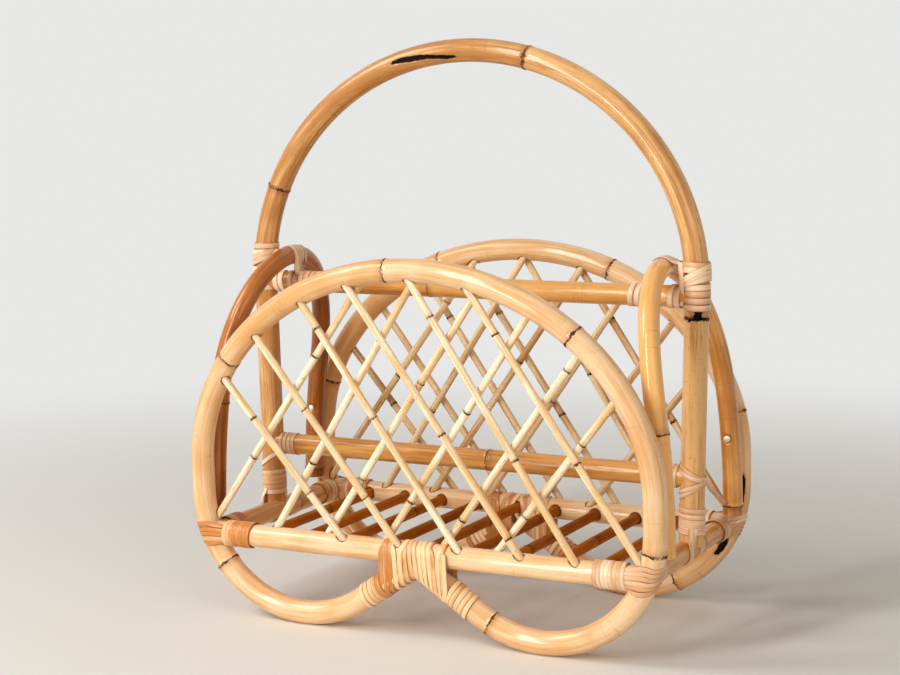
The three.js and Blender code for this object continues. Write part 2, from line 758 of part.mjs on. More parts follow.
const frame = new THREE.Group();
for (const [end, word] of [[-1, "left"], [1, "right"]]) {
  addPiece(frame, `${word}_end_rail`,
    cut(endRailRod(end, endRailRadius), [...hoopReliefs, ...railReliefs]), railCane);
  addPiece(frame, `${word}_end_arch`, cut(endArchPole(end), nailBores), darkCane);
}
addPiece(frame, "handle_pole", cut(handlePole(handleRadius),
  [-1, 1].map((end) => endRailRod(end, endRailRadius + seatGap))), handleCane);
addPiece(frame, "middle_divider_rail",
  cut(dividerRod(middleRailHeight, dividerRadius), [handleRelief]), railCane);
addPiece(frame, "upper_divider_rail",
  cut(dividerRod(upperRailHeight, dividerRadius), [handleRelief]), railCane);
for (const dowel of dowelLines) {
  const far = vec(0, dowel.start.distanceTo(dowel.end), 0);
  const geometry = rod(vec(0, 0, 0), far, dowelDiameter / 2, caneSides + 2);
  addAlong(frame, dowel.name, geometry, dowelCane, dowel.start, dowel.end.clone().sub(dowel.start));
}
for (const nail of nails) {
  const headSeat = nail.leg.clone().addScaledVector(nail.direction, -archRadius - seatGap);
  addAlong(frame, nail.name, nailGeometry(nail.length), nailSteel, headSeat, nail.direction);
}
basket.add(frame);

const bindings = new THREE.Group();
const gaps = [];

function addBinding(name, trail) {
  const { geometry, gap } = peelStrip(trail);
  addPiece(bindings, name, geometry, peel);
  gaps.push([name, gap]);
}

for (const [side, depthWord] of [[-1, "front"], [1, "rear"]]) {
  addBinding(`${depthWord}_centre_binding`, centreTrail(side));
  for (const [end, word] of [[-1, "left"], [1, "right"]]) {
    addBinding(`${depthWord}_${word}_corner_binding`, cornerTrail(end, side));
  }
}
for (const [end, word] of [[-1, "left"], [1, "right"]]) {
  addBinding(`${word}_post_foot_binding`, postFootTrail(end));
  addBinding(`${word}_post_top_binding`, postTopTrail(end));
  addBinding(`${word}_middle_rail_binding`, middleRailTrail(end));
}
basket.add(bindings);

const [tightest, least] = gaps.reduce((a, b) => (b[1] < a[1] ? b : a));
console.log(`least gap of a binding to itself: ${least.toFixed(2)} mm, on ${tightest}`);

export default basket;
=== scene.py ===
"""The looks of a rattan magazine basket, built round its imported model.

Smooth cane poles, thin lattice canes and wound cane peel stand in for the faceted solids of the
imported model, each in the place of the node that it replaces. All sizes are in metres, with the
origin on the floor under the middle of the basket, +X towards the right post and -Y to the front.
"""

import logging
import math
import random
from collections.abc import Callable, Iterable, Iterator, Mapping, Sequence
from dataclasses import dataclass, field
from enum import Enum

import bpy
import numpy as np
from mathutils import Matrix, Vector


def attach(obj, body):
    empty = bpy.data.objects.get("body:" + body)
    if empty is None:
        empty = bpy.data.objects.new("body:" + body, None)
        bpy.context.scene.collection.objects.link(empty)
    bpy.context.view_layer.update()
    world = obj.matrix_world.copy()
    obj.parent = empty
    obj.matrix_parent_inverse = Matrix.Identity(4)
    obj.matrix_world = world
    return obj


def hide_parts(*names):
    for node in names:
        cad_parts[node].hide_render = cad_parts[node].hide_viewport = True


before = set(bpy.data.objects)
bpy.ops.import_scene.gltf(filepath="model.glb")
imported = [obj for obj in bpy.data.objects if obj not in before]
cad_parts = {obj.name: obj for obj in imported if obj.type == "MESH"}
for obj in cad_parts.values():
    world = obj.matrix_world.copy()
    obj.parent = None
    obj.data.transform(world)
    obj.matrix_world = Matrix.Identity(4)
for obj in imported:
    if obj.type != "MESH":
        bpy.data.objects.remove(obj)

log = logging.getLogger("magazine_basket")

Colour = tuple[float, float, float]
Pair = tuple[float, float]
Material = bpy.types.Material
Piece = bpy.types.Object
UP = Vector((0.0, 0.0, 1.0))
FRONTWARDS = Vector((0.0, -1.0, 0.0))
BODY = "root"
BINDING_SEED = 190  # sets the bindings' random draws apart from their panel's canes
NO_JOINT = 1.0  # a gap longer than any stretch of a pole between two joints


class Named(Enum):
    """A choice that the names of nodes tell apart."""

    @property
    def word(self) -> str:
        """Its word in the names of nodes."""
        return self.name.lower()


class Side(Named):
    """The two lattice panels, by the sign of Y."""

    FRONT = -1
    REAR = 1


class End(Named):
    """The two ends of the basket, by the sign of X."""

    LEFT = -1
    RIGHT = 1


def arithmetic(
    operation: str, reflected: bool = False
) -> Callable[["Wire", "Wire | float"], "Wire"]:
    """Make an operator of Wire that adds a Math node.

    Args:
        operation: The node's operation.
        reflected: Whether the other value comes first.

    Returns:
        The operator's method.
    """
    def method(wire: "Wire", other: "Wire | float") -> "Wire":
        """Add the Math node."""
        values = (other, wire) if reflected else (wire, other)
        return wire.graph.math(operation, *values)

    return method


class Wire:
    """An output socket that arithmetic can be written on."""

    def __init__(self, graph: "Graph", socket: bpy.types.NodeSocket) -> None:
        """Keep the socket and the graph that it belongs to."""
        self.graph = graph
        self.socket = socket

    __add__ = arithmetic("ADD")
    __radd__ = arithmetic("ADD", reflected=True)
    __sub__ = arithmetic("SUBTRACT")
    __rsub__ = arithmetic("SUBTRACT", reflected=True)
    __mul__ = arithmetic("MULTIPLY")
    __rmul__ = arithmetic("MULTIPLY", reflected=True)
    __truediv__ = arithmetic("DIVIDE")

    def __abs__(self) -> "Wire":
        """Absolute value."""
        return self.graph.math("ABSOLUTE", self)

    def step(self, low: float, high: float) -> "Wire":
        """Rise smoothly from 0 to 1 between two values.

        Args:
            low: Where the result is 0.
            high: Where the result is 1, which may lie below low.

        Returns:
            The smooth step.
        """
        rising = high > low
        settings = {"interpolation_type": "SMOOTHSTEP"}
        return self.graph.node("ShaderNodeMapRange", settings, {
            "Value": self, "From Min": min(low, high), "From Max": max(low, high),
            "To Min": 0.0 if rising else 1.0, "To Max": 1.0 if rising else 0.0,
        })[0]


class Block:
    """A node whose outputs are read by name or number."""

    def __init__(self, graph: "Graph", node: bpy.types.Node) -> None:
        """Keep the node and its graph."""
        self.graph = graph
        self.node = node

    def __getitem__(self, key: str | int) -> Wire:
        """The output with that name or number."""
        return Wire(self.graph, Graph.pick(self.node.outputs, key))


@dataclass
class Graph:
    """A node tree under construction."""

    tree: bpy.types.NodeTree

    @staticmethod
    def pick(sockets: Sequence[bpy.types.NodeSocket], key: str | int) -> bpy.types.NodeSocket:
        """Find a socket that is in use.

        Args:
            sockets: A node's inputs or outputs.
            key: The socket's name or number.

        Returns:
            The socket.
        """
        if isinstance(key, int):
            return sockets[key]
        return next(socket for socket in sockets if socket.name == key and socket.enabled)

    def node(
        self,
        kind: str,
        settings: Mapping[str, object] | None = None,
        sockets: Mapping[str | int, object] | None = None,
    ) -> Block:
        """Add a node.

        Args:
            kind: The node's type.
            settings: Its own settings, which are set first.
            sockets: Values or links of its inputs, by name or number.

        Returns:
            The new node.
        """
        made = self.tree.nodes.new(kind)
        for name, value in (settings or {}).items():
            setattr(made, name, value)
        for key, value in (sockets or {}).items():
            socket = self.pick(made.inputs, key)
            if isinstance(value, Block):
                value = value[0]
            if isinstance(value, Wire):
                self.tree.links.new(value.socket, socket)
            else:
                socket.default_value = value
        return Block(self, made)

    def math(self, operation: str, *values: Wire | float) -> Wire:
        """Add a Math node with these inputs in order, and give its result."""
        return self.node("ShaderNodeMath", {"operation": operation}, dict(enumerate(values)))[0]

    def attribute(self, name: str, output: str = "Fac") -> Wire:
        """Read one of the mesh's attributes in a material."""
        return self.node("ShaderNodeAttribute", {"attribute_name": name})[output]

    def noise(
        self, vector: Wire, scale: float, detail: float = 2.0, roughness: float = 0.55
    ) -> Wire:
        """Add a Noise Texture of so many waves to the metre, about 0.5 in the middle."""
        sockets = {"Vector": vector, "Scale": scale, "Detail": detail, "Roughness": roughness}
        return self.node("ShaderNodeTexNoise", None, sockets)["Fac"]

    def stretch(self, vector: Wire, factors: Colour) -> Wire:
        """Scale a vector by a factor on each axis."""
        sockets = {0: vector, 1: factors}
        return self.node("ShaderNodeVectorMath", {"operation": "MULTIPLY"}, sockets)[0]

    def blend(self, share: Wire | float, first: Wire | Colour, second: Wire | Colour) -> Wire:
        """Mix two colours.

        Args:
            share: How much of the second shows.
            first: The first colour.
            second: The second colour.

        Returns:
            The mixed colour.
        """
        colours = [c if isinstance(c, Wire) else (*c, 1.0) for c in (first, second)]
        sockets = {"Factor": share, "A": colours[0], "B": colours[1]}
        return self.node("ShaderNodeMix", {"data_type": "RGBA"}, sockets)["Result"]

    def looked_at(self) -> Wire:
        """1 for a ray from the camera or a glossy surface, 0 for one that lights something."""
        path = self.node("ShaderNodeLightPath")
        return self.math("MAXIMUM", path["Is Camera Ray"], path["Is Glossy Ray"])

    def surface(
        self, height: Wire, distance: float, sockets: Mapping[str, object], strength: float = 0.5
    ) -> None:
        """End a material in a Principled shader with a bump.

        Args:
            height: The bump's height, as a share.
            distance: How far the whole height stands out, in metres.
            sockets: The shader's other inputs.
            strength: The bump's strength.
        """
        relief = {"Strength": strength, "Distance": distance, "Height": height}
        bump = self.node("ShaderNodeBump", None, relief)
        shader = self.node("ShaderNodeBsdfPrincipled", None, {**sockets, "Normal": bump})
        self.node("ShaderNodeOutputMaterial", None, {"Surface": shader})


def new_material(name: str) -> tuple[Material, Graph]:
    """Start a material, and the graph of its nodes."""
    material = bpy.data.materials.new(name)
    material.use_nodes = True
    material.node_tree.nodes.clear()
    return material, Graph(material.node_tree)


@dataclass(frozen=True)
class CaneFinish:
    """Varnished or raw cane: streaks, pores, fine cross cracks, ringed joints, painted shade at
    holes.
    """

    name: str
    light: Colour
    deep: Colour
    stain: Colour
    line: Colour
    roughness: float
    coat: float
    streak: float = 0.85
    fleck: float = 0.8
    wrinkle: float = 0.3
    line_width: float = 0.0005
    jag: float = 0.0017
    stain_length: float = 0.007
    stain_share: float = 0.45
    specular: float = 0.12
    coat_roughness: float = 0.11
    scar: Colour = (0.006, 0.004, 0.003)
    # painted shade: the dark ring in the mouths of drilled holes and round nail heads
    hole: Colour = (0.24, 0.085, 0.02)
    fibre_waves: float = 900.0
    band_waves: float = 220.0
    cloud_waves: float = 26.0
    pore_waves: float = 1500.0
    crack_waves: float = 620.0
    edge_waves: float = 440.0
    relief: float = 0.0003

    def build(self) -> Material:
        """Make the material.

        Returns:
            A material that reads the attributes which the cane tree leaves.
        """
        material, graph = new_material(self.name)
        grain = graph.attribute("grain", "Vector")
        scar, seat = graph.attribute("scar"), graph.attribute("seat")
        fibres = graph.noise(graph.stretch(grain, (1.0, 1.0, 0.03)), self.fibre_waves, 3.0, 0.6)
        bands = graph.noise(graph.stretch(grain, (1.0, 1.0, 0.06)), self.band_waves)
        edge = graph.noise(grain, self.edge_waves, 3.0) - 0.5
        body = self.wood(graph, grain, fibres, bands, graph.attribute("tone"))
        body, line = self.joints(graph, grain, edge, graph.attribute("node_gap"), body)
        torn = (scar + edge * 0.9).step(0.38, 0.55)
        body = graph.blend((scar + edge * 0.5).step(0.05, 0.6) * 0.55, body, self.stain)
        body = graph.blend(torn, body, self.scar)
        # painted shade in the mouths of drilled holes, where the cane or nail sits in its hole
        body = graph.blend((seat + edge * 0.25).step(0.25, 0.85), body, self.hole)
        dull = graph.noise(grain, 60.0) * 0.16 + fibres * 0.12 + (self.roughness - 0.14)
        dull = dull + (torn * 0.4 + line * 0.3 + seat * 0.3)
        height = fibres * 0.35 + bands * 0.3 - line * 0.7 - torn * 1.5
        graph.surface(height, self.relief, {
            "Base Color": body,
            "Roughness": graph.math("MINIMUM", dull, 0.95),
            "Specular IOR Level": self.specular,
            "Coat Weight": (1.0 - torn) * (1.0 - line) * self.coat,
            "Coat Roughness": self.coat_roughness,
        })
        return material

    def wood(self, graph: Graph, grain: Wire, fibres: Wire, bands: Wire, tone: Wire) -> Wire:
        """Colour the plain cane between its joints.

        Args:
            graph: The material's graph.
            grain: The place on the cane, with Z along it.
            fibres: Its fine lengthwise streaks.
            bands: Its broad lengthwise streaks.
            tone: The tone of this stretch between two joints.

        Returns:
            The colour.
        """
        clouds = graph.noise(grain, self.cloud_waves)
        pores = graph.noise(graph.stretch(grain, (1.0, 1.0, 0.12)), self.pore_waves, 1.0)
        cracks = graph.noise(graph.stretch(grain, (0.12, 0.12, 1.0)), self.crack_waves)
        cracks = cracks.step(0.6, 0.72) * graph.noise(grain, 34.0, 1.0).step(0.45, 0.65)
        depth = (fibres - 0.5) * (0.9 * self.streak) + (bands - 0.5) * (1.5 * self.streak)
        depth = depth + (clouds - 0.5) * 1.1 + tone * 0.45 + 0.4
        body = graph.blend(depth.step(0.0, 1.0), self.light, self.deep)
        body = graph.blend(cracks * self.wrinkle, body, self.stain)
        return graph.blend(pores.step(0.66, 0.78) * (0.55 * self.fleck), body, self.stain)

    def joints(
        self, graph: Graph, grain: Wire, edge: Wire, gap: Wire, body: Wire
    ) -> tuple[Wire, Wire]:
        """Draw the ragged line of each joint, with the stain below it and the pale rim above.

        Args:
            graph: The material's graph.
            grain: The place on the cane.
            edge: An unevenness about 0.
            gap: The distance from the nearest joint, along the cane.
            body: The colour so far.

        Returns:
            The new colour, and how much of the line shows.
        """
        ragged = gap + edge * (2.0 * self.jag)
        breadth = graph.noise(grain, 900.0, 1.0) * (2.4 * self.line_width)
        strong = graph.noise(grain, 150.0, 1.0).step(0.36, 0.56)
        line = (abs(ragged) / breadth).step(1.0, 0.5) * (strong * 0.35 + 0.65)
        below = ragged.step(0.0, self.line_width) * ragged.step(self.stain_length, 0.0)
        under = ragged * -1.0
        above = under.step(0.0, self.line_width) * under.step(self.stain_length * 0.4, 0.0)
        body = graph.blend(below * self.stain_share, body, self.stain)
        body = graph.blend(above * (0.6 * self.stain_share), body, self.light)
        return graph.blend(line, body, self.line), line


@dataclass(frozen=True)
class PeelFinish:
    """Flat cane peel, with its lengthwise fibres, painted shade along its edges and a tone for each
    turn.
    """

    name: str
    light: Colour
    deep: Colour
    shade: Colour
    roughness: float = 0.38
    coat: float = 0.35
    specular: float = 0.2
    coat_roughness: float = 0.2
    fibre_waves: float = 1300.0
    band_waves: float = 420.0
    cloud_waves: float = 60.0
    rim_shade_waves: float = 700.0
    relief: float = 0.00025

    def build(self) -> Material:
        """Make the material.

        Returns:
            A material that reads the attributes which the peel tree leaves.
        """
        material, graph = new_material(self.name)
        grain, tone = graph.attribute("grain", "Vector"), graph.attribute("tone")
        across = abs(graph.node("ShaderNodeSeparateXYZ", None, {0: grain})["X"])
        fibres = graph.noise(graph.stretch(grain, (1.0, 1.0, 0.03)), self.fibre_waves, 3.0, 0.65)
        bands = graph.noise(graph.stretch(grain, (1.0, 1.0, 0.05)), self.band_waves, 1.0)
        clouds = graph.noise(grain, self.cloud_waves)
        depth = (fibres - 0.5) * 0.9 + (bands - 0.5) * 1.1 + (clouds - 0.5) * 0.9
        depth = depth + tone * 1.3 + 0.36
        body = graph.blend(depth.step(0.0, 1.0), self.light, self.deep)
        # painted shade along each strand's edges, in the crevices where the strands meet
        rim = (across / graph.attribute("half_width")).step(0.52, 0.98)
        rim_shade_patches = graph.noise(graph.stretch(grain, (1.0, 1.0, 0.1)), self.rim_shade_waves)
        rim = rim * (0.45 + rim_shade_patches.step(0.35, 0.75) * 0.55)
        body = graph.blend(rim, body, self.shade)
        graph.surface(fibres * 0.6 + bands * 0.4, self.relief, {
            "Base Color": body,
            "Roughness": fibres * 0.25 + clouds * 0.15 + (self.roughness - 0.2),
            "Specular IOR Level": self.specular,
            "Coat Weight": self.coat,
            "Coat Roughness": self.coat_roughness,
        })
        return material


@dataclass(frozen=True)
class NailFinish:
    """Dull nail steel with brown tarnish."""

    name: str
    bright: Colour
    tarnish: Colour
    spot_waves: float = 900.0
    metallic: float = 0.5
    roughness: float = 0.38
    relief: float = 0.0001
    relief_strength: float = 0.3

    def build(self) -> Material:
        """Make the material.

        Returns:
            A metal on Object coordinates.
        """
        material, graph = new_material(self.name)
        place = graph.node("ShaderNodeTexCoord")["Object"]
        spots = graph.noise(place, self.spot_waves, 3.0, 0.65).step(0.4, 0.7)
        graph.surface(spots, self.relief, {
            "Base Color": graph.blend(spots, self.bright, self.tarnish),
            "Metallic": self.metallic - spots * 0.3,
            "Roughness": self.roughness + spots * 0.3,
        }, self.relief_strength)
        return material


@dataclass(frozen=True)
class FloorFinish:
    """The plain pale floor, which passes into the backdrop's colour away from the basket."""

    name: str
    colour: Colour
    backdrop: Colour
    near: float = 0.3
    far: float = 1.25
    mottle_waves: float = 3.0
    mottle: float = 1.03
    roughness: float = 0.75

    def build(self) -> Material:
        """Make the material.

        Returns:
            A matt material with a faint mottle.
        """
        material, graph = new_material(self.name)
        place = graph.node("ShaderNodeTexCoord")["Object"]
        paler = tuple(min(1.0, value * self.mottle) for value in self.colour)
        body = graph.blend(graph.noise(place, self.mottle_waves), self.colour, paler)
        matt = graph.node(
            "ShaderNodeBsdfPrincipled", None, {"Base Color": body, "Roughness": self.roughness}
        )
        plain = graph.node("ShaderNodeEmission", None, {"Color": (*self.backdrop, 1.0)})
        away = graph.node("ShaderNodeVectorMath", {"operation": "LENGTH"}, {0: place})["Value"]
        share = away.step(self.near, self.far) * graph.looked_at()
        shader = graph.node("ShaderNodeMixShader", None, {"Fac": share, 1: matt, 2: plain})
        graph.node("ShaderNodeOutputMaterial", None, {"Surface": shader})
        return material


class Finishes:
    """Every material of the basket."""

    def __init__(self) -> None:
        """Build the materials."""
        self.hoop = CaneFinish(
            "pale_pole_cane",
            (0.92, 0.65, 0.385), (0.75, 0.385, 0.135), (0.42, 0.15, 0.026), (0.09, 0.028, 0.008),
            roughness=0.42, coat=0.65, streak=1.1, line_width=0.0009, jag=0.002,
        ).build()
        self.handle = CaneFinish(
            "handle_cane",
            (0.81, 0.47, 0.19), (0.50, 0.21, 0.05), (0.26, 0.085, 0.013), (0.10, 0.025, 0.006),
            roughness=0.42, coat=0.6, streak=1.6, fleck=1.3, line_width=0.0014, jag=0.0026,
        ).build()
        self.rail = CaneFinish(
            "rail_cane",
            (0.76, 0.38, 0.10), (0.46, 0.165, 0.022), (0.25, 0.075, 0.012), (0.08, 0.026, 0.008),
            roughness=0.4, coat=0.5, streak=1.3,
        ).build()
        self.arch = CaneFinish(
            "red_arch_cane",
            (0.53, 0.17, 0.018), (0.25, 0.066, 0.005), (0.10, 0.026, 0.003), (0.05, 0.015, 0.005),
            roughness=0.36, coat=0.65, streak=1.2,
        ).build()
        self.pale_arch = CaneFinish(
            "orange_arch_cane",
            (0.93, 0.50, 0.15), (0.50, 0.185, 0.024), (0.22, 0.065, 0.010), (0.07, 0.022, 0.006),
            roughness=0.38, coat=0.8,
        ).build()
        self.lattice = CaneFinish(
            "lattice_cane",
            (0.98, 0.86, 0.64), (0.82, 0.53, 0.24), (0.46, 0.21, 0.055), (0.10, 0.035, 0.010),
            roughness=0.5, coat=0.3, streak=2.1, fleck=1.5, line_width=0.0008, jag=0.0010,
            stain_length=0.004,
        ).build()
        self.rear_lattice = CaneFinish(
            "rear_lattice_cane",
            (0.90, 0.68, 0.40), (0.58, 0.31, 0.11), (0.32, 0.13, 0.03), (0.06, 0.02, 0.006),
            roughness=0.5, coat=0.2, streak=1.8, fleck=1.4, line_width=0.0009, jag=0.0010,
            stain_length=0.005,
        ).build()
        self.dowel = CaneFinish(
            "dowel_cane",
            (0.54, 0.165, 0.012), (0.28, 0.065, 0.004), (0.11, 0.028, 0.003), (0.04, 0.012, 0.004),
            roughness=0.6, coat=0.0, specular=0.03,
        ).build()
        self.peel = PeelFinish(
            "peel", (0.95, 0.71, 0.49), (0.72, 0.39, 0.19), (0.40, 0.14, 0.03)
        ).build()
        self.warm_peel = PeelFinish(
            "warm_peel", (0.97, 0.66, 0.36), (0.62, 0.235, 0.05), (0.36, 0.105, 0.014)
        ).build()
        self.nail = NailFinish("nail_steel", (0.93, 0.80, 0.60), (0.50, 0.34, 0.18)).build()
        self.backdrop: Colour = (0.80, 0.80, 0.785)
        self.floor = FloorFinish("pale_floor", (0.80, 0.79, 0.77), self.backdrop).build()


@dataclass
class Workshop:
    """What every sub-assembly is made with: the materials and the trees for cane and peel."""

    finishes: Finishes
    cane: "CaneTree"
    peel: "PeelTree"


@dataclass
class Trail:
    """A line of points in space, each with its outer side, its tone and its nearest joint."""

    points: list[Vector] = field(default_factory=list)
    lifts: list[Vector] = field(default_factory=list)
    tones: list[float] = field(default_factory=list)
    gaps: list[float] = field(default_factory=list)

    def add(self, point: Vector, lift: Vector, tone: float, gap: float = NO_JOINT) -> None:
        """Add one point.

        Args:
            point: The point.
            lift: The direction of the line's outer side there.
            tone: How much darker the line is there.
            gap: How far along the line the nearest joint is.
        """
        self.points.append(point.copy())
        self.lifts.append(lift.normalized())
        self.tones.append(tone)
        self.gaps.append(gap)

    def extend(self, other: "Trail") -> None:
        """Add another trail's points."""
        self.points += other.points
        self.lifts += other.lifts
        self.tones += other.tones
        self.gaps += other.gaps


def run_of(table: np.ndarray) -> np.ndarray:
    """How far along a line each row lies, by the rows' first three columns."""
    steps = np.linalg.norm(np.diff(table[:, :3], axis=0), axis=1)
    return np.concatenate([[0.0], np.cumsum(steps)])


def spread(table: np.ndarray, count: int) -> np.ndarray:
    """Space a line's rows evenly along it.

    Args:
        table: A row for each point, which starts with its place.
        count: How many rows to make.

    Returns:
        The new rows, with both ends kept.
    """
    along = run_of(table)
    places = np.linspace(0.0, along[-1], count)
    return np.column_stack([np.interp(places, along, column) for column in table.T])


def relax(table: np.ndarray, rounds: int) -> np.ndarray:
    """Round off a line's sudden turns by drawing each row towards its neighbours."""
    for _ in range(rounds):
        table[1:-1] = (table[:-2] + 2.0 * table[1:-1] + table[2:]) / 4.0
    return table


def even_points(points: Sequence[Vector], spacing: float) -> list[Vector]:
    """Space points evenly along a line, with both ends kept.

    Args:
        points: The line.
        spacing: The distance to aim for.

    Returns:
        The new points.
    """
    table = np.array([tuple(point) for point in points])
    count = max(2, round(run_of(table)[-1] / spacing) + 1)
    return [Vector(row) for row in spread(table, count)]


def ellipse(centre: Pair, half: Pair, start: float, end: float, count: int) -> list[Pair]:
    """Points on part of an ellipse, from one angle to another, in radians."""
    angles = np.linspace(start, end, count)
    return [(centre[0] + half[0] * math.cos(a), centre[1] + half[1] * math.sin(a)) for a in angles]


def link(name: str, data: bpy.types.ID) -> Piece:
    """Put a mesh, a lamp or a camera into the scene as an object."""
    made = bpy.data.objects.new(name, data)
    bpy.context.scene.collection.objects.link(made)
    return made


def smooth_sides(mesh: bpy.types.Mesh) -> None:
    """Shade a mesh smooth, apart from the flat many-sided faces that close it."""
    small = [len(face.vertices) <= 4 for face in mesh.polygons]
    mesh.polygons.foreach_set("use_smooth", small)
    mesh.update()


class Tree:
    """A Geometry Nodes tree that sweeps a section along lines, with inputs set by name."""

    def __init__(self, name: str, inputs: Mapping[str, str]) -> None:
        """Start the tree.

        Args:
            name: The tree's name.
            inputs: Each input's name and socket type.
        """
        self.tree = bpy.data.node_groups.new(name, "GeometryNodeTree")
        face = self.tree.interface
        face.new_socket("Geometry", in_out="OUTPUT", socket_type="NodeSocketGeometry")
        face.new_socket("Geometry", in_out="INPUT", socket_type="NodeSocketGeometry")
        self.keys = {}
        for label, kind in inputs.items():
            socket = face.new_socket(label, in_out="INPUT", socket_type=kind)
            self.keys[label] = socket.identifier
        self.graph = Graph(self.tree)
        self.given = self.graph.node("NodeGroupInput")

    def read(self, name: str, kind: str = "FLOAT") -> Wire:
        """Read a named attribute of the points."""
        source = self.graph.node(
            "GeometryNodeInputNamedAttribute", {"data_type": kind}, {"Name": name}
        )
        return source["Attribute"]

    def store(self, geometry: Block, name: str, value: Wire, kind: str = "FLOAT") -> Block:
        """Keep a value as a named attribute of the points.

        Args:
            geometry: The geometry.
            name: The attribute's name.
            value: The value.
            kind: Its data type.

        Returns:
            The geometry with its attribute.
        """
        settings = {"data_type": kind, "domain": "POINT"}
        sockets = {"Geometry": geometry, "Name": name, "Value": value}
        return self.graph.node("GeometryNodeStoreNamedAttribute", settings, sockets)

    def measured(self, curve: Block, shift: float) -> tuple[Block, Wire]:
        """Note on a curve how far along it each point is, shifted by the seed.

        Args:
            curve: The curve.
            shift: How far one step of the seed shifts it.

        Returns:
            The curve and the length along it.
        """
        length = self.graph.node("GeometryNodeSplineParameter")["Length"]
        along = length + self.given["Seed"] * shift
        return self.store(curve, "length_along", along), along

    def waver(self, along: Wire, waves: float) -> Wire:
        """How much thicker than usual the line is, at so many waves to the metre."""
        noise = self.graph.node(
            "ShaderNodeTexNoise", {"noise_dimensions": "1D"}, {"W": along, "Scale": waves}
        )
        return (noise["Fac"] - 0.5) * self.given["Unevenness"]

    def section(self, ring: Block) -> Block:
        """Note on a section's curve where each of its points is."""
        place = self.graph.node("GeometryNodeInputPosition")[0]
        return self.store(ring, "section", place, "FLOAT_VECTOR")

    def tube(self, curve: Block, ring: Block, factor: Wire) -> Block:
        """Sweep a section along a curve, and note where each point lies in the grain.

        Args:
            curve: The curve, measured.
            ring: The section.
            factor: How much larger than the section the tube is.

        Returns:
            The tube.
        """
        swept = self.graph.node("GeometryNodeCurveToMesh", None, {
            "Curve": curve, "Profile Curve": ring, "Scale": factor, "Fill Caps": True,
        })
        across = self.graph.node(
            "ShaderNodeSeparateXYZ", None, {0: self.read("section", "FLOAT_VECTOR")}
        )
        grain = self.graph.node("ShaderNodeCombineXYZ", None, {
            "X": across["X"], "Y": across["Y"], "Z": self.read("length_along"),
        })
        return self.store(swept, "grain", grain[0], "FLOAT_VECTOR")

    def close(self, geometry: Block) -> None:
        """Shade the result smooth, realize it, give it its material and send it out."""
        graph = self.graph
        smooth_tube = graph.node("GeometryNodeSetShadeSmooth", None, {"Geometry": geometry})
        real = graph.node("GeometryNodeRealizeInstances", None, {"Geometry": smooth_tube})
        sockets = {"Geometry": real, "Material": self.given["Finish"]}
        dressed = graph.node("GeometryNodeSetMaterial", None, sockets)
        graph.node("NodeGroupOutput", None, {"Geometry": dressed})

    def sweep(self, name: str, trails: Iterable[Trail], **values: object) -> Piece:
        """Run the tree on some lines and keep the result as a plain mesh.

        Args:
            name: The new object's name.
            trails: The lines.
            **values: The tree's inputs, by name with underscores for spaces.

        Returns:
            The finished object.
        """
        whole = Trail()
        edges: list[tuple[int, int]] = []
        for trail in trails:
            first = len(whole.points)
            whole.extend(trail)
            edges += [(i, i + 1) for i in range(first, len(whole.points) - 1)]
        mesh = bpy.data.meshes.new(f"{name}_line")
        mesh.from_pydata(whole.points, edges, [])
        for label, column in (("node_gap", whole.gaps), ("tone", whole.tones)):
            mesh.attributes.new(label, "FLOAT", "POINT").data.foreach_set("value", column)
        lift = mesh.attributes.new("lift", "FLOAT_VECTOR", "POINT")
        lift.data.foreach_set("vector", [value for vector in whole.lifts for value in vector])
        source = link(f"{name}_source", mesh)
        modifier = source.modifiers.new("sweep", "NODES")
        modifier.node_group = self.tree
        for label, value in values.items():
            modifier[self.keys[label.replace("_", " ")]] = value
        graph = bpy.context.evaluated_depsgraph_get()
        finished = bpy.data.meshes.new_from_object(source.evaluated_get(graph))
        finished.name = name
        bpy.data.objects.remove(source)
        bpy.data.meshes.remove(mesh)
        smooth_sides(finished)
        return link(name, finished)


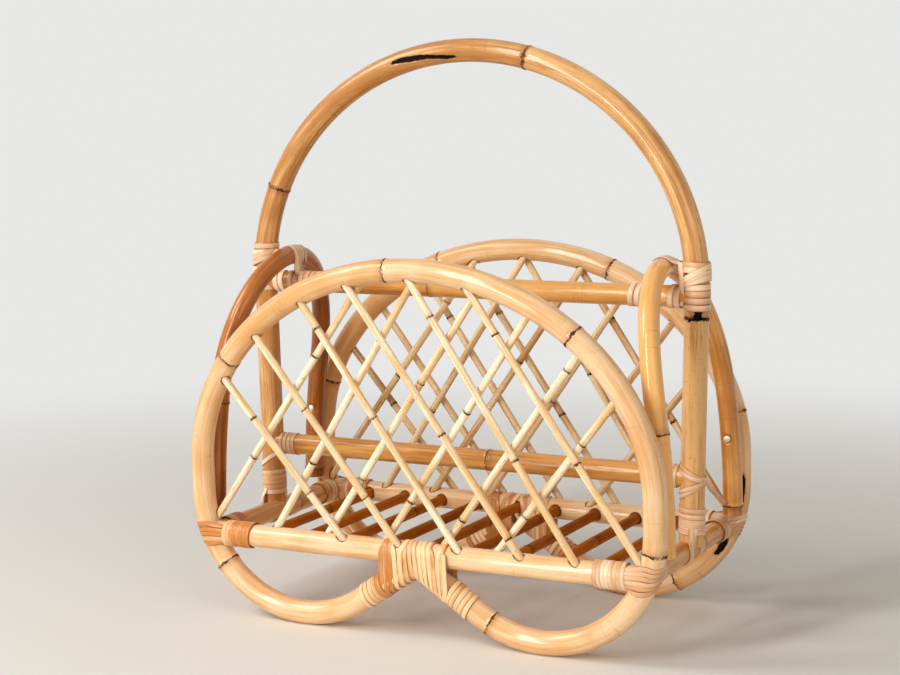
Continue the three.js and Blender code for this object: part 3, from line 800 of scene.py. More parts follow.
class CaneTree(Tree):
    """Sweeps a round cane along a line, with a ridge at each joint and uneven thickness."""

    seed_shift: float = 0.731
    waver_waves: float = 14.0

    def __init__(self) -> None:
        """Build the tree."""
        super().__init__("cane_along_a_line", {
            "Radius": "NodeSocketFloat", "Sides": "NodeSocketInt",
            "Ring Spacing": "NodeSocketFloat", "Joint Ridge": "NodeSocketFloat",
            "Joint Half Length": "NodeSocketFloat", "Unevenness": "NodeSocketFloat",
            "Seed": "NodeSocketInt", "Finish": "NodeSocketMaterial",
        })
        graph, given = self.graph, self.given
        curve = graph.node("GeometryNodeMeshToCurve", None, {"Mesh": given["Geometry"]})
        sockets = {"Curve": curve, "Length": given["Ring Spacing"]}
        curve = graph.node("GeometryNodeResampleCurve", {"mode": "LENGTH"}, sockets)
        curve, along = self.measured(curve, self.seed_shift)
        reach = abs(self.read("node_gap")) / given["Joint Half Length"]
        ridge = reach.step(1.0, 0.0) * (given["Joint Ridge"] / given["Radius"])
        sockets = {"Resolution": given["Sides"], "Radius": given["Radius"]}
        ring = self.section(graph.node("GeometryNodeCurvePrimitiveCircle", None, sockets))
        self.close(self.tube(curve, ring, 1.0 + ridge + self.waver(along, self.waver_waves)))

    def pole(
        self, name: str, points: Sequence[Vector], joints: Sequence[float], radius: float,
        finish: Material, sides: int = 48, spacing: float = 0.0011, ridge: float = 0.0005,
        half_length: float = 0.0024, unevenness: float = 0.02, seed: int = 1,
        shades: Sequence[float] = (),
    ) -> Piece:
        """Sweep one pole or cane.

        Args:
            name: The piece's name.
            points: The line down its middle.
            joints: The shares of its length at which its joints lie.
            radius: Its radius.
            finish: Its material.
            sides: Facets round it.
            spacing: The distance between its rings.
            ridge: How far a joint stands out.
            half_length: How long half a joint's ridge is.
            unevenness: How much its thickness wavers, as a share.
            seed: What sets its grain and its waver.
            shades: How much darker each stretch between two joints is.

        Returns:
            The finished piece.
        """
        line = even_points(points, spacing)
        length = sum((b - a).length for a, b in zip(line, line[1:]))
        chance = random.Random(seed)
        tones = [chance.uniform(-0.5, 0.5) for _ in range(len(joints) + 1)]
        tones = [tone + shade for tone, shade in zip(tones, shades or [0.0] * len(tones))]
        trail = Trail()
        for i, point in enumerate(line):
            along = length * i / (len(line) - 1)
            offsets = [along - joint * length for joint in joints]
            passed = sum(offset > 0 for offset in offsets)
            trail.add(point, UP, tones[passed], min(offsets, key=abs, default=NO_JOINT))
        return self.sweep(
            name, [trail], Radius=radius, Sides=sides, Ring_Spacing=spacing, Joint_Ridge=ridge,
            Joint_Half_Length=half_length, Unevenness=unevenness, Seed=seed, Finish=finish,
        )


class PeelTree(Tree):
    """Sweeps a flat strip of cane peel, crowned on its outer side, along a line."""

    seed_shift: float = 0.317
    waver_waves: float = 45.0
    section_points: int = 14
    fullness: float = 0.4
    underside: float = 0.3

    def __init__(self) -> None:
        """Build the tree."""
        super().__init__("peel_along_a_line", {
            "Width": "NodeSocketFloat", "Thickness": "NodeSocketFloat",
            "Unevenness": "NodeSocketFloat", "Seed": "NodeSocketInt",
            "Finish": "NodeSocketMaterial",
        })
        graph, given = self.graph, self.given
        curve = graph.node("GeometryNodeMeshToCurve", None, {"Mesh": given["Geometry"]})
        sockets = {"Curve": curve, "Normal": self.read("lift", "FLOAT_VECTOR")}
        curve = graph.node("GeometryNodeSetCurveNormal", {"mode": "FREE"}, sockets)
        curve, along = self.measured(curve, self.seed_shift)
        sockets = {"Resolution": self.section_points, "Radius": 1.0}
        ring = graph.node("GeometryNodeCurvePrimitiveCircle", None, sockets)
        place = graph.node(
            "ShaderNodeSeparateXYZ", None, {0: graph.node("GeometryNodeInputPosition")}
        )
        high = place["Y"]
        crown = graph.math("POWER", graph.math("MAXIMUM", high, 0.0), self.fullness)
        rise = (crown + graph.math("MINIMUM", high, 0.0) * self.underside) * given["Thickness"]
        flat = graph.node("ShaderNodeCombineXYZ", None, {
            "X": place["X"] * given["Width"] * 0.5, "Y": rise, "Z": 0.0,
        })
        sockets = {"Geometry": ring, "Position": flat}
        ring = self.section(graph.node("GeometryNodeSetPosition", None, sockets))
        sockets = {"Geometry": ring, "Rotation": (0.0, 0.0, -math.pi / 2)}
        ring = graph.node("GeometryNodeTransform", None, sockets)
        tube = self.tube(curve, ring, 1.0 + self.waver(along, self.waver_waves))
        self.close(self.store(tube, "half_width", given["Width"] * 0.5))

    def strip(
        self, name: str, trails: Sequence[Trail], width: float, thickness: float,
        finish: Material, seed: int = 1, unevenness: float = 0.35,
    ) -> Piece:
        """Sweep the strands of one binding, each so wide and crowned so thick."""
        return self.sweep(
            name, trails, Width=width, Thickness=thickness, Unevenness=unevenness, Seed=seed,
            Finish=finish,
        )


def hand_in(piece: Piece, slot: str, *nodes: str) -> Piece:
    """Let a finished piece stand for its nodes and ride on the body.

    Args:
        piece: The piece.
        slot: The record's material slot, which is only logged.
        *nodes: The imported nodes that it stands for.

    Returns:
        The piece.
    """
    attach(piece, BODY)
    if nodes:
        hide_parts(*nodes)
    log.info("%s: %d faces, slot %s", piece.name, len(piece.data.polygons), slot)
    return piece


def smooth(values: np.ndarray | float, low: float = 0.0, high: float = 1.0) -> np.ndarray:
    """Rise smoothly from 0 at low to 1 at high."""
    share = np.clip((values - low) / (high - low), 0.0, 1.0)
    return share * share * (3.0 - 2.0 * share)


@dataclass(frozen=True)
class Seat:
    """A drilled hole with painted shade round its mouth: a point at the mouth, the way its cane
    leaves, and its radius.

    The other lengths are in radii of the hole.
    """

    mouth: Vector
    out: Vector
    radius: float
    reach: float = 3.0
    wall: float = 0.98
    brim: float = 1.2
    painted_shade_reach: float = 1.45
    sink: float = 0.45
    facing: float = 0.05

    def press(self, places: np.ndarray, normals: np.ndarray) -> tuple[np.ndarray, np.ndarray]:
        """Work out what the hole does to a pole's skin.

        Args:
            places: The places of the pole's vertices.
            normals: Their normals.

        Returns:
            How far each vertex moves, and how much painted shade the hole's mouth puts on it.
        """
        away = places - np.array(self.mouth)
        out = np.array(self.out)
        deep = away @ out
        off = np.linalg.norm(away - np.outer(deep, out), axis=1)
        near = (np.abs(deep) < self.radius * self.reach) & (normals @ out > self.facing)
        inside = 1.0 - smooth(off, self.radius * self.wall, self.radius * self.brim)
        # stain here is painted shade, darkening the hole's mouth where shade falls into it
        stain = 1.0 - smooth(off, self.radius, self.radius * self.painted_shade_reach)
        moved = np.outer(np.where(near, inside, 0.0), out * self.radius * self.sink)
        return -moved, np.where(near, stain, 0.0)


@dataclass(frozen=True)
class Scar:
    """A black sunken place on a pole's surface, with a ragged edge, such as a burn or a break."""

    middle: Vector
    along: Vector
    out: Vector
    half_length: float
    half_width: float
    depth: float
    ragged: float = 0.12
    facing: float = 0.15
    long_waves: float = 2600.0
    cross_waves: float = 2300.0
    slant_waves: float = 5200.0

    def press(self, places: np.ndarray, normals: np.ndarray) -> tuple[np.ndarray, np.ndarray]:
        """Work out what the scar does to a pole's skin.

        Args:
            places: The places of the pole's vertices.
            normals: Their normals.

        Returns:
            How far each vertex moves, and how much the scar shows there.
        """
        away = places - np.array(self.middle)
        along = np.array(self.along.normalized())
        out = np.array(self.out.normalized())
        length, width = away @ along, away @ np.cross(along, out)
        radial = np.hypot(length / self.half_length, width / self.half_width)
        ragged = np.sin(length * self.long_waves + 0.8) * np.sin(width * self.cross_waves + 2.1)
        slanted = np.sin((width - length) * self.slant_waves)
        radial = radial + self.ragged * (ragged + 0.6 * slanted)
        reach = self.half_width * 2.5 + 0.006
        near = (normals @ out > self.facing) & (np.abs(away @ out) < reach)
        amount = np.where(near, 1.0 - smooth(radial, 0.35, 1.15), 0.0)
        return -(smooth(amount, 0.3, 0.6)[:, None] * normals * self.depth), amount


def mark(piece: Piece, seats: Sequence[Seat] = (), scars: Sequence[Scar] = ()) -> None:
    """Sink drilled holes and scars into a pole, and note them for its material.

    Args:
        piece: The pole.
        seats: Its drilled holes.
        scars: Its scars.
    """
    mesh = piece.data
    count = len(mesh.vertices)
    places = np.empty(count * 3, dtype=np.float32)
    normals = np.empty(count * 3, dtype=np.float32)
    mesh.vertices.foreach_get("co", places)
    mesh.vertex_normals.foreach_get("vector", normals)
    places, normals = places.reshape(-1, 3), normals.reshape(-1, 3)
    start = places.copy()
    for label, dents in (("seat", seats), ("scar", scars)):
        mask = np.zeros(count, dtype=np.float32)
        for dent in dents:
            moved, amount = dent.press(start, normals)
            places += moved.astype(np.float32)
            mask = np.maximum(mask, amount)
        mesh.attributes.new(label, "FLOAT", "POINT").data.foreach_set("value", mask)
    mesh.vertices.foreach_set("co", places.reshape(-1))
    mesh.update()


@dataclass
class Panel:
    """One lattice side: the hoop with its curled feet, its base rail and its canes.

    The joints are shares of the hoop's length, and the shades say how much darker the stretches
    between them are: painted shade on the front hoop's top and on much of the rear hoop.
    """

    side: Side
    seed: int
    joints: tuple[float, ...]
    shades: tuple[float, ...]
    pole_radius: float = 0.00825
    half_width: float = 0.174
    arch_height: float = 0.110
    arch_rise: float = 0.145
    foot_radius: float = 0.082
    meeting_height: float = 0.052
    end_gap: float = 0.0008
    wear: float = 0.0007
    half_spacing: float = 0.085
    lean_degrees: float = 2.3
    rail_height: float = 0.059
    rail_radius: float = 0.008
    cane_radius: float = 0.00265
    layer_offset: float = 0.00295
    hoop_seat: float = 0.005
    rail_seat: float = 0.0036
    mouth_share: float = 1.16
    dowel_mouth_share: float = 1.1
    cane_bow: float = 0.0006
    joint_range: tuple[float, float] = (0.12, 0.9)
    closest_joints: float = 0.25
    dark_patches: tuple[tuple[float, float, float, float], ...] = (
        (-1.5, 34.0, 0.0150, 0.0027), (-34.0, 28.0, 0.0105, 0.0032),
    )
    dark_patch_depth: float = 0.0005
    rising_shares: tuple[float, ...] = (-0.959, -0.653, -0.41, -0.141, 0.116, 0.349)
    rising_degrees: tuple[float, ...] = (54.4, 57.5, 55.4, 55.4, 53.3, 51.0)
    falling_shares: tuple[float, ...] = (-0.339, -0.092, 0.176, 0.443, 0.673, 0.95)
    falling_degrees: tuple[float, ...] = (49.1, 52.2, 54.8, 54.7, 57.4, 55.8)

    @property
    def outwards(self) -> Vector:
        """The way out from the middle of the basket."""
        return Vector((0.0, self.side.value, 0.0))

    @property
    def lean(self) -> float:
        """How far the panel leans outwards, in radians."""
        return math.radians(self.lean_degrees)

    @property
    def foot_centre(self) -> tuple[float, float]:
        """The middle of a foot's bend, along and up from the base rail."""
        lowest = (self.pole_radius - self.wear - self.rail_height) / math.cos(self.lean)
        return self.half_width - self.foot_radius, lowest + self.foot_radius

    @property
    def hoop_at_rail(self) -> float:
        """How far out the hoop's middle is at the height of the base rail."""
        along, rise = self.foot_centre
        return along + math.sqrt(self.foot_radius ** 2 - rise ** 2)

    @property
    def meeting(self) -> float:
        """How far the feet's meeting lies above the base rail, which is below it."""
        return self.meeting_height - self.rail_height

    @property
    def tangent_angle(self) -> float:
        """Where a foot's straight end leaves its bend."""
        along, rise = self.foot_centre
        base = math.atan2(self.meeting - rise, -along)
        return base + math.acos(self.foot_radius / math.hypot(along, self.meeting - rise))

    @property
    def foot_fall(self) -> tuple[float, float]:
        """The way that a foot's straight end runs down and out from the middle."""
        return -math.sin(self.tangent_angle), math.cos(self.tangent_angle)

    @property
    def arch_centre(self) -> tuple[float, float]:
        """The middle of the hoop's arch, along and up from the base rail."""
        return 0.0, self.arch_height - self.rail_height

    def place(self, along: float, rise: float, out: float = 0.0) -> Vector:
        """Put a place on the panel into space.

        Args:
            along: The distance along it from the middle.
            rise: The distance up it from the base rail.
            out: The distance out from its middle plane.

        Returns:
            The point.
        """
        lean = self.lean
        return Vector((
            along,
            self.side.value * (self.half_spacing + rise * math.sin(lean) + out * math.cos(lean)),
            self.rail_height + rise * math.cos(lean) - out * math.sin(lean),
        ))

    def way(self, along: float, rise: float, out: float = 0.0) -> Vector:
        """A direction on the panel, put into space."""
        return self.place(along, rise, out) - self.place(0.0, 0.0)

    def hoop_line(self) -> list[Vector]:
        """The line down the middle of the hoop, from the right foot over the top."""
        centre, tangent = self.foot_centre, self.tangent_angle
        run, drop = self.foot_fall
        setback = (self.end_gap / 2 + self.pole_radius * abs(drop)) / run
        start = (setback * run, self.meeting + setback * drop)
        bend = (self.foot_radius, self.foot_radius)
        right = ellipse(centre, bend, tangent, 0.0, 90)
        top = ellipse(self.arch_centre, (self.half_width, self.arch_rise), 0.0, math.pi, 220)
        left = [(-x, z) for x, z in reversed(right)]
        outline = [start, *right, *top, *left, (-start[0], start[1])]
        return [self.place(x, z) for x, z in outline]

    @staticmethod
    def reach(start: Vector, way: Vector, centre: Pair, half: Pair) -> float:
        """How far along a line from inside an ellipse its edge lies.

        Args:
            start: The point inside, along and up.
            way: The line's direction.
            centre: The ellipse's centre.
            half: Its half width and half height.

        Returns:
            The distance.
        """
        px, pz = (start.x - centre[0]) / half[0], (start.y - centre[1]) / half[1]
        dx, dz = way.x / half[0], way.y / half[1]
        a, b, c = dx * dx + dz * dz, px * dx + pz * dz, px * px + pz * pz - 1.0
        return (-b + math.sqrt(b * b - a * c)) / a

    def cane_line(self, share: float, degrees: float, slope: int) -> tuple[Vector, Vector]:
        """Both ends of a lattice cane, along and up on the panel.

        Args:
            share: Where it crosses the top of the base rail, as a share of the half width.
            degrees: How steep it is.
            slope: 1 if it rises to the right, -1 if it falls.

        Returns:
            Its bottom and its top.
        """
        angle = math.radians(degrees)
        climb = Vector((slope * math.cos(angle), math.sin(angle)))
        foot = Vector((share * self.half_width, self.rail_radius))
        inset = self.pole_radius - self.hoop_seat
        half = (self.half_width - inset, self.arch_rise - inset)
        top = foot + climb * self.reach(foot, climb, self.arch_centre, half)
        rail_top = math.sqrt(self.rail_radius ** 2 - self.layer_offset ** 2)
        bottom = foot - climb * ((self.rail_radius - rail_top + self.rail_seat) / climb.y)
        if self.past_rail(foot.x):
            centre = (math.copysign(self.foot_centre[0], foot.x), self.foot_centre[1])
            bend = self.foot_radius - inset
            above = foot + climb * bend
            bottom = above - climb * self.reach(above, -climb, centre, (bend, bend))
        return bottom, top

    def past_rail(self, x: float) -> bool:
        """Whether a cane that is there at its foot stands in the hoop, not in the base rail."""
        return abs(x) > self.hoop_at_rail - self.pole_radius

    def canes(self) -> list[tuple[str, Vector, Vector]]:
        """Each lattice cane's name, lower end and upper end, in space."""
        found = []
        layers = (
            ("rising_cane", self.rising_shares, self.rising_degrees, 1, -self.layer_offset),
            ("falling_cane", self.falling_shares, self.falling_degrees, -1, self.layer_offset),
        )
        for word, shares, degrees, slope, out in layers:
            for i, (share, steep) in enumerate(zip(shares, degrees)):
                bottom, top = self.cane_line(share, steep, slope)
                low, high = (self.place(end.x, end.y, out) for end in (bottom, top))
                found.append((f"{self.side.word}_{word}_{i + 1}", low, high))
        return found

    def hoop_mouths(self, canes: Sequence[tuple[str, Vector, Vector]]) -> list[Seat]:
        """Where the canes enter the hoop."""
        seats = []
        radius = self.cane_radius * self.mouth_share
        for _, low, high in canes:
            way = (high - low).normalized()
            seats.append(Seat(high - way * self.hoop_seat, -way, radius))
            if self.past_rail(low.x):
                seats.append(Seat(low + way * self.hoop_seat, way, radius))
        return seats

    def rail_mouths(
        self, canes: Sequence[tuple[str, Vector, Vector]], dowels: "Dowels"
    ) -> list[Seat]:
        """Where the canes and the dowels enter the base rail."""
        seats = []
        for _, low, high in canes:
            way = (high - low).normalized()
            mouth = low + way * self.rail_seat
            seats.append(Seat(mouth, way, self.cane_radius * self.mouth_share))
        y = self.side.value * (self.half_spacing - self.rail_radius)
        for x in dowels.places():
            mouth = Vector((x, y, dowels.height))
            seats.append(Seat(mouth, -self.outwards, dowels.radius * self.dowel_mouth_share))
        return seats

    def scars(self) -> list[Scar]:
        """The black sunken patches on the hoop's right foot."""
        found = []
        for degrees, turn_degrees, half_length, half_width in self.dark_patches:
            angle, turn = math.radians(degrees), math.radians(turn_degrees)
            along, rise = self.foot_centre
            spot = self.place(
                along + self.foot_radius * math.cos(angle),
                rise + self.foot_radius * math.sin(angle),
            )
            tangent = self.way(-math.sin(angle), math.cos(angle))
            out = self.way(math.cos(angle) * math.sin(turn), 0.0, -math.cos(turn))
            spot += out.normalized() * self.pole_radius
            found.append(Scar(spot, tangent, out, half_length, half_width, self.dark_patch_depth))
        return found

    def build(self, shop: Workshop, dowels: "Dowels") -> None:
        """Make the panel's poles and canes.

        Args:
            shop: What the pieces are made with.
            dowels: The floor's dowels, whose holes the base rail has.
        """
        word = self.side.word
        canes = self.canes()
        hoop = shop.cane.pole(
            f"{word}_hoop_cane", self.hoop_line(), self.joints, self.pole_radius,
            shop.finishes.hoop, sides=52, seed=self.seed, shades=self.shades,
        )
        mark(hoop, self.hoop_mouths(canes), self.scars() if self.side is Side.REAR else ())
        flatten_feet(hoop)
        hand_in(hoop, "hoop_cane", f"{word}_hoop")
        ends = [self.place(-self.hoop_at_rail, 0.0), self.place(self.hoop_at_rail, 0.0)]
        rail = shop.cane.pole(
            f"{word}_rail_cane", ends, (), self.rail_radius, shop.finishes.hoop,
            ridge=0.0004, seed=self.seed + 1,
        )
        mark(rail, self.rail_mouths(canes, dowels))
        hand_in(rail, "hoop_cane", f"{word}_base_rail")
        chance = random.Random(self.seed)
        finish = shop.finishes.lattice if self.side is Side.FRONT else shop.finishes.rear_lattice
        for i, (name, low, high) in enumerate(canes):
            first, second = sorted(chance.uniform(*self.joint_range) for _ in range(2))
            if second - first <= self.closest_joints:
                first, second = first * 0.6, 0.35 + second * 0.6
            bow = self.outwards * chance.uniform(-self.cane_bow, self.cane_bow)
            middle = (low + high) / 2 + bow
            below, above = (end.lerp(middle, 0.5) + bow * 0.25 for end in (low, high))
            cane = shop.cane.pole(
                f"{name}_cane", [low, below, middle, above, high], (first, second),
                self.cane_radius, finish, sides=18, spacing=0.0016, ridge=0.0004,
                half_length=0.0016, unevenness=0.08, seed=self.seed + 2 + i,
            )
            hand_in(cane, "lattice_cane", name)


def flatten_feet(piece: Piece) -> None:
    """Stand a piece on the floor by flattening what would pass below it."""
    for vertex in piece.data.vertices:
        vertex.co.z = max(vertex.co.z, 0.0)
    piece.data.update()


@dataclass
class Dowels:
    """The slatted floor: dark dowels between the base rails."""

    count: int = 9
    pitch: float = 0.0322
    radius: float = 0.00375
    height: float = 0.0585
    reach: float = 0.081
    joint_range: tuple[float, float] = (0.2, 0.8)

    def places(self) -> list[float]:
        """How far along the basket each dowel is."""
        return [(i - (self.count - 1) / 2) * self.pitch for i in range(self.count)]

    def build(self, shop: Workshop) -> None:
        """Make the dowels.

        Args:
            shop: What the pieces are made with.
        """
        chance = random.Random(5)
        for i, x in enumerate(self.places()):
            name = f"floor_dowel_{i + 1}"
            ends = [Vector((x, y, self.height)) for y in (-self.reach, self.reach)]
            joints = [chance.uniform(*self.joint_range)]
            piece = shop.cane.pole(
                f"{name}_cane", ends, joints, self.radius, shop.finishes.dowel, sides=24,
                spacing=0.0016, ridge=0.0003, half_length=0.0018, unevenness=0.05, seed=90 + i,
            )
            hand_in(piece, "dowel_cane", name)


@dataclass(frozen=True)
class Divider:
    """A divider rail between the posts, with its joint and the tones on both sides of it."""

    word: str
    height: float
    joint: float
    shades: tuple[float, float]
    seed: int


@dataclass
class Carrier:
    """The handle with its posts, and the two divider rails between them.

    The burnt streak is a chain of scars under the front of the handle, each further round it
    than the last. Each break has its degrees round the right post from the front, its height,
    its half length and half width, its depth and its tilt.
    """

    radius: float = 0.0085
    foot_half: float = 0.1675
    top_half: float = 0.1725
    foot_height: float = 0.06275
    rail_height: float = 0.059
    top_height: float = 0.242
    rise: float = 0.163
    joints: tuple[float, ...] = (0.177, 0.4455, 0.724)
    # painted light and shade: the right post is lightened, and the left side and left post are
    # darkened, partly for their own darker tone
    shades: tuple[float, ...] = (-1.0, 0.05, 0.9, 1.1)
    divider_radius: float = 0.0075
    dividers: tuple[Divider, Divider] = (
        Divider("middle", 0.110, 0.544, (0.0, 0.0), 75),
        Divider("upper", 0.234, 0.41, (0.2, -0.6), 78),
    )
    streak_scars: int = 13
    streak_start: float = -0.0508
    streak_pitch: float = 0.0032
    streak_turn_degrees: float = 3.0
    streak_half_length: float = 0.0092
    streak_half_widths: tuple[float, ...] = (0.0022, 0.0026, 0.0014, 0.0018)
    streak_depth: float = 0.0003
    breaks: tuple[tuple[float, ...], ...] = (
        (31.0, 0.2232, 0.0046, 0.0036, 0.0016, 0.15),
        (22.0, 0.2205, 0.0030, 0.0040, 0.0014, -0.3),
        (-20.0, 0.2185, 0.0020, 0.0020, 0.0012, 0.5),
        (15.0, 0.2192, 0.0008, 0.0100, 0.0008, 0.06),
        (60.0, 0.2200, 0.0008, 0.0050, 0.0008, 0.0),
        (-32.0, 0.2490, 0.0026, 0.0030, 0.0006, 0.4),
    )
    break_raggedness: float = 0.22

    def post_at(self, height: float) -> float:
        """How far out a post's middle is at a height."""
        share = min((height - self.rail_height) / (self.top_height - self.rail_height), 1.0)
        rise = max(height - self.top_height, 0.0) / self.rise
        straight = self.foot_half + (self.top_half - self.foot_half) * share
        return straight * math.sqrt(1.0 - rise * rise)

    def line(self) -> list[Vector]:
        """The line down the middle of the handle, from the right post's foot."""
        arch = ellipse((0.0, self.top_height), (self.top_half, self.rise), 0.0, math.pi, 260)
        outline = [(self.foot_half, self.foot_height), *arch, (-self.foot_half, self.foot_height)]
        return [Vector((x, 0.0, z)) for x, z in outline]

    def streak(self) -> list[Scar]:
        """The burnt streak under the front of the handle."""
        found = []
        widths = np.linspace(0, self.streak_scars - 1, len(self.streak_half_widths))
        for i in range(self.streak_scars):
            x = self.streak_start + self.streak_pitch * i
            half_width = float(np.interp(i, widths, self.streak_half_widths))
            share = -x / self.top_half
            climb = math.sqrt(1.0 - share * share)
            along = Vector((1.0, 0.0, self.rise * share / (self.top_half * climb))).normalized()
            angle = math.radians(self.streak_turn_degrees * (i - 1))
            under = Vector((along.z, 0.0, -along.x))
            out = FRONTWARDS * math.cos(angle) + under * math.sin(angle)
            middle = Vector((x, 0.0, self.top_height + self.rise * climb)) + out * self.radius
            found.append(Scar(
                middle, along, out, self.streak_half_length, half_width, self.streak_depth, 0.0,
            ))
        return found

    def broken_joint(self) -> list[Scar]:
        """The broken joint on the right post."""
        found = []
        for degrees, height, half_length, half_width, depth, tilt in self.breaks:
            angle = math.radians(degrees)
            out = Vector((math.sin(angle), -math.cos(angle), 0.0))
            middle = Vector((self.post_at(height), 0.0, height)) + out * self.radius
            along = UP + out.cross(UP) * tilt
            found.append(Scar(
                middle, along, out, half_length, half_width, depth, self.break_raggedness,
            ))
        return found

    def build(self, shop: Workshop) -> None:
        """Make the handle and the divider rails.

        Args:
            shop: What the pieces are made with.
        """
        handle = shop.cane.pole(
            "handle_cane", self.line(), self.joints, self.radius, shop.finishes.handle, sides=52,
            seed=70, shades=self.shades,
        )
        mark(handle, scars=self.streak() + self.broken_joint())
        hand_in(handle, "handle_cane", "handle_pole")
        for divider in self.dividers:
            reach = self.post_at(divider.height)
            ends = [Vector((x, 0.0, divider.height)) for x in (-reach, reach)]
            rail = shop.cane.pole(
                f"{divider.word}_divider_cane", ends, (divider.joint,), self.divider_radius,
                shop.finishes.rail, sides=44, ridge=0.0004, seed=divider.seed,
                shades=divider.shades,
            )
            hand_in(rail, "rail_cane", f"{divider.word}_divider_rail")


@dataclass
class EndFrame:
    """One end: its rail under the post, its dark arch, and the nails through the arch's legs."""

    end: End
    carrier: Carrier
    seed: int
    shades: tuple[float, ...]
    rail_radius: float = 0.0075
    rail_half: float = 0.164
    rail_height: float = 0.059
    rail_reach: float = 0.085
    radius: float = 0.00715
    half_width: float = 0.070
    leg_height: float = 0.0705
    spring_height: float = 0.165
    top_height: float = 0.254
    post_gap: float = 0.0074
    foot_half: float = 0.1743
    bow: float = 2.2
    joints: tuple[float, ...] = (0.182, 0.62, 0.985)
    rail_joint: float = 0.62
    nail_height: float = 0.126
    nail_head: float = 0.0027
    nail_crown: float = 0.0011
    nail_skirt: float = 0.0006
    nail_rings: int = 6
    nail_sides: int = 28

    @property
    def hand(self) -> int:
        """The sign of X at this end."""
        return self.end.value

    @property
    def outwards(self) -> Vector:
        """The way out from the middle of the basket."""
        return Vector((self.hand, 0.0, 0.0))

    @property
    def top_half(self) -> float:
        """How far out the arch's top is."""
        post = self.carrier.post_at(self.top_height) - self.carrier.radius
        return post - self.post_gap - self.radius

    def arch_at(self, height: float) -> float:
        """How far out the arch is at a height."""
        rise = (height - self.leg_height) / (self.top_height - self.leg_height)
        return self.foot_half + (self.top_half - self.foot_half) * rise ** self.bow

    def line(self) -> list[Vector]:
        """The line down the middle of the arch, from its front leg."""
        rise = self.top_height - self.spring_height
        bend = ellipse((0.0, self.spring_height), (self.half_width, rise), math.pi, 0.0, 120)
        leg = np.linspace(self.leg_height, self.spring_height, 24)[:-1]
        front = [(-self.half_width, float(z)) for z in leg]
        rear = [(self.half_width, float(z)) for z in reversed(leg)]
        return [Vector((self.hand * self.arch_at(z), y, z)) for y, z in (*front, *bend, *rear)]

    def nails(self, panel: Panel) -> tuple[Vector, Vector]:
        """Where a nail's head sits on the arch's leg, and the way the nail is driven."""
        y = panel.side.value * self.half_width
        leg = Vector((self.hand * self.arch_at(self.nail_height), y, self.nail_height))
        rise = (self.nail_height - panel.arch_height) / panel.arch_rise
        hoop = panel.place(0.0, (self.nail_height - panel.rail_height) / math.cos(panel.lean))
        hoop.x = self.hand * panel.half_width * math.sqrt(1.0 - rise * rise)
        way = (hoop - leg).normalized()
        return leg - way * self.radius, way

    def nail_head_mesh(self, name: str, seat: Vector, way: Vector) -> Piece:
        """A domed nail head, closed underneath.

        Args:
            name: The piece's name.
            seat: The middle of its underside.
            way: The way the nail is driven.

        Returns:
            The piece.
        """
        turn = (-way).to_track_quat("Z", "Y").to_matrix()
        rings, sides = self.nail_rings, self.nail_sides
        points = [seat + turn @ Vector((0.0, 0.0, self.nail_crown))]
        for i in range(1, rings + 1):
            angle = i / rings * math.pi / 2
            out = self.nail_head * math.sin(angle)
            rise = self.nail_crown * math.cos(angle) - (self.nail_skirt if i == rings else 0.0)
            for j in range(sides):
                bearing = 2 * math.pi * j / sides
                local = Vector((out * math.cos(bearing), out * math.sin(bearing), rise))
                points.append(seat + turn @ local)
        faces: list[tuple[int, ...]] = []
        for j in range(sides):
            after = (j + 1) % sides
            faces.append((0, 1 + j, 1 + after))
            for i in range(rings - 1):
                a, b = 1 + i * sides, 1 + (i + 1) * sides
                faces.append((a + j, b + j, b + after, a + after))
        faces.append(tuple(1 + (rings - 1) * sides + j for j in reversed(range(sides))))
        mesh = bpy.data.meshes.new(name)
        mesh.from_pydata(points, [], faces)
        smooth_sides(mesh)
        return link(name, mesh)

    def build(self, shop: Workshop, panels: Mapping[Side, Panel]) -> None:
        """Make the end's rail, arch and nails.

        Args:
            shop: What the pieces are made with.
            panels: Both panels, which the nails are driven into.
        """
        word = self.end.word
        x = self.hand * self.rail_half
        ends = [Vector((x, y, self.rail_height)) for y in (-self.rail_reach, self.rail_reach)]
        rail = shop.cane.pole(
            f"{word}_end_rail_cane", ends, (self.rail_joint,), self.rail_radius, shop.finishes.rail,
            sides=44, ridge=0.0004, seed=self.seed,
        )
        hand_in(rail, "rail_cane", f"{word}_end_rail")
        finish = shop.finishes.arch if self.end is End.LEFT else shop.finishes.pale_arch
        arch = shop.cane.pole(
            f"{word}_arch_cane", self.line(), self.joints, self.radius, finish, sides=44,
            seed=self.seed + 1, shades=self.shades,
        )
        nails = {panel.side.word: self.nails(panel) for panel in panels.values()}
        mark(arch, [Seat(seat, -way, self.nail_head) for seat, way in nails.values()])
        hand_in(arch, "arch_cane", f"{word}_end_arch")
        for side_word, (seat, way) in nails.items():
            name = f"{side_word}_{word}_arch_nail"
            head = self.nail_head_mesh(f"{name}_head", seat, way)
            head.data.materials.append(shop.finishes.nail)
            hand_in(head, "nail_steel", name)


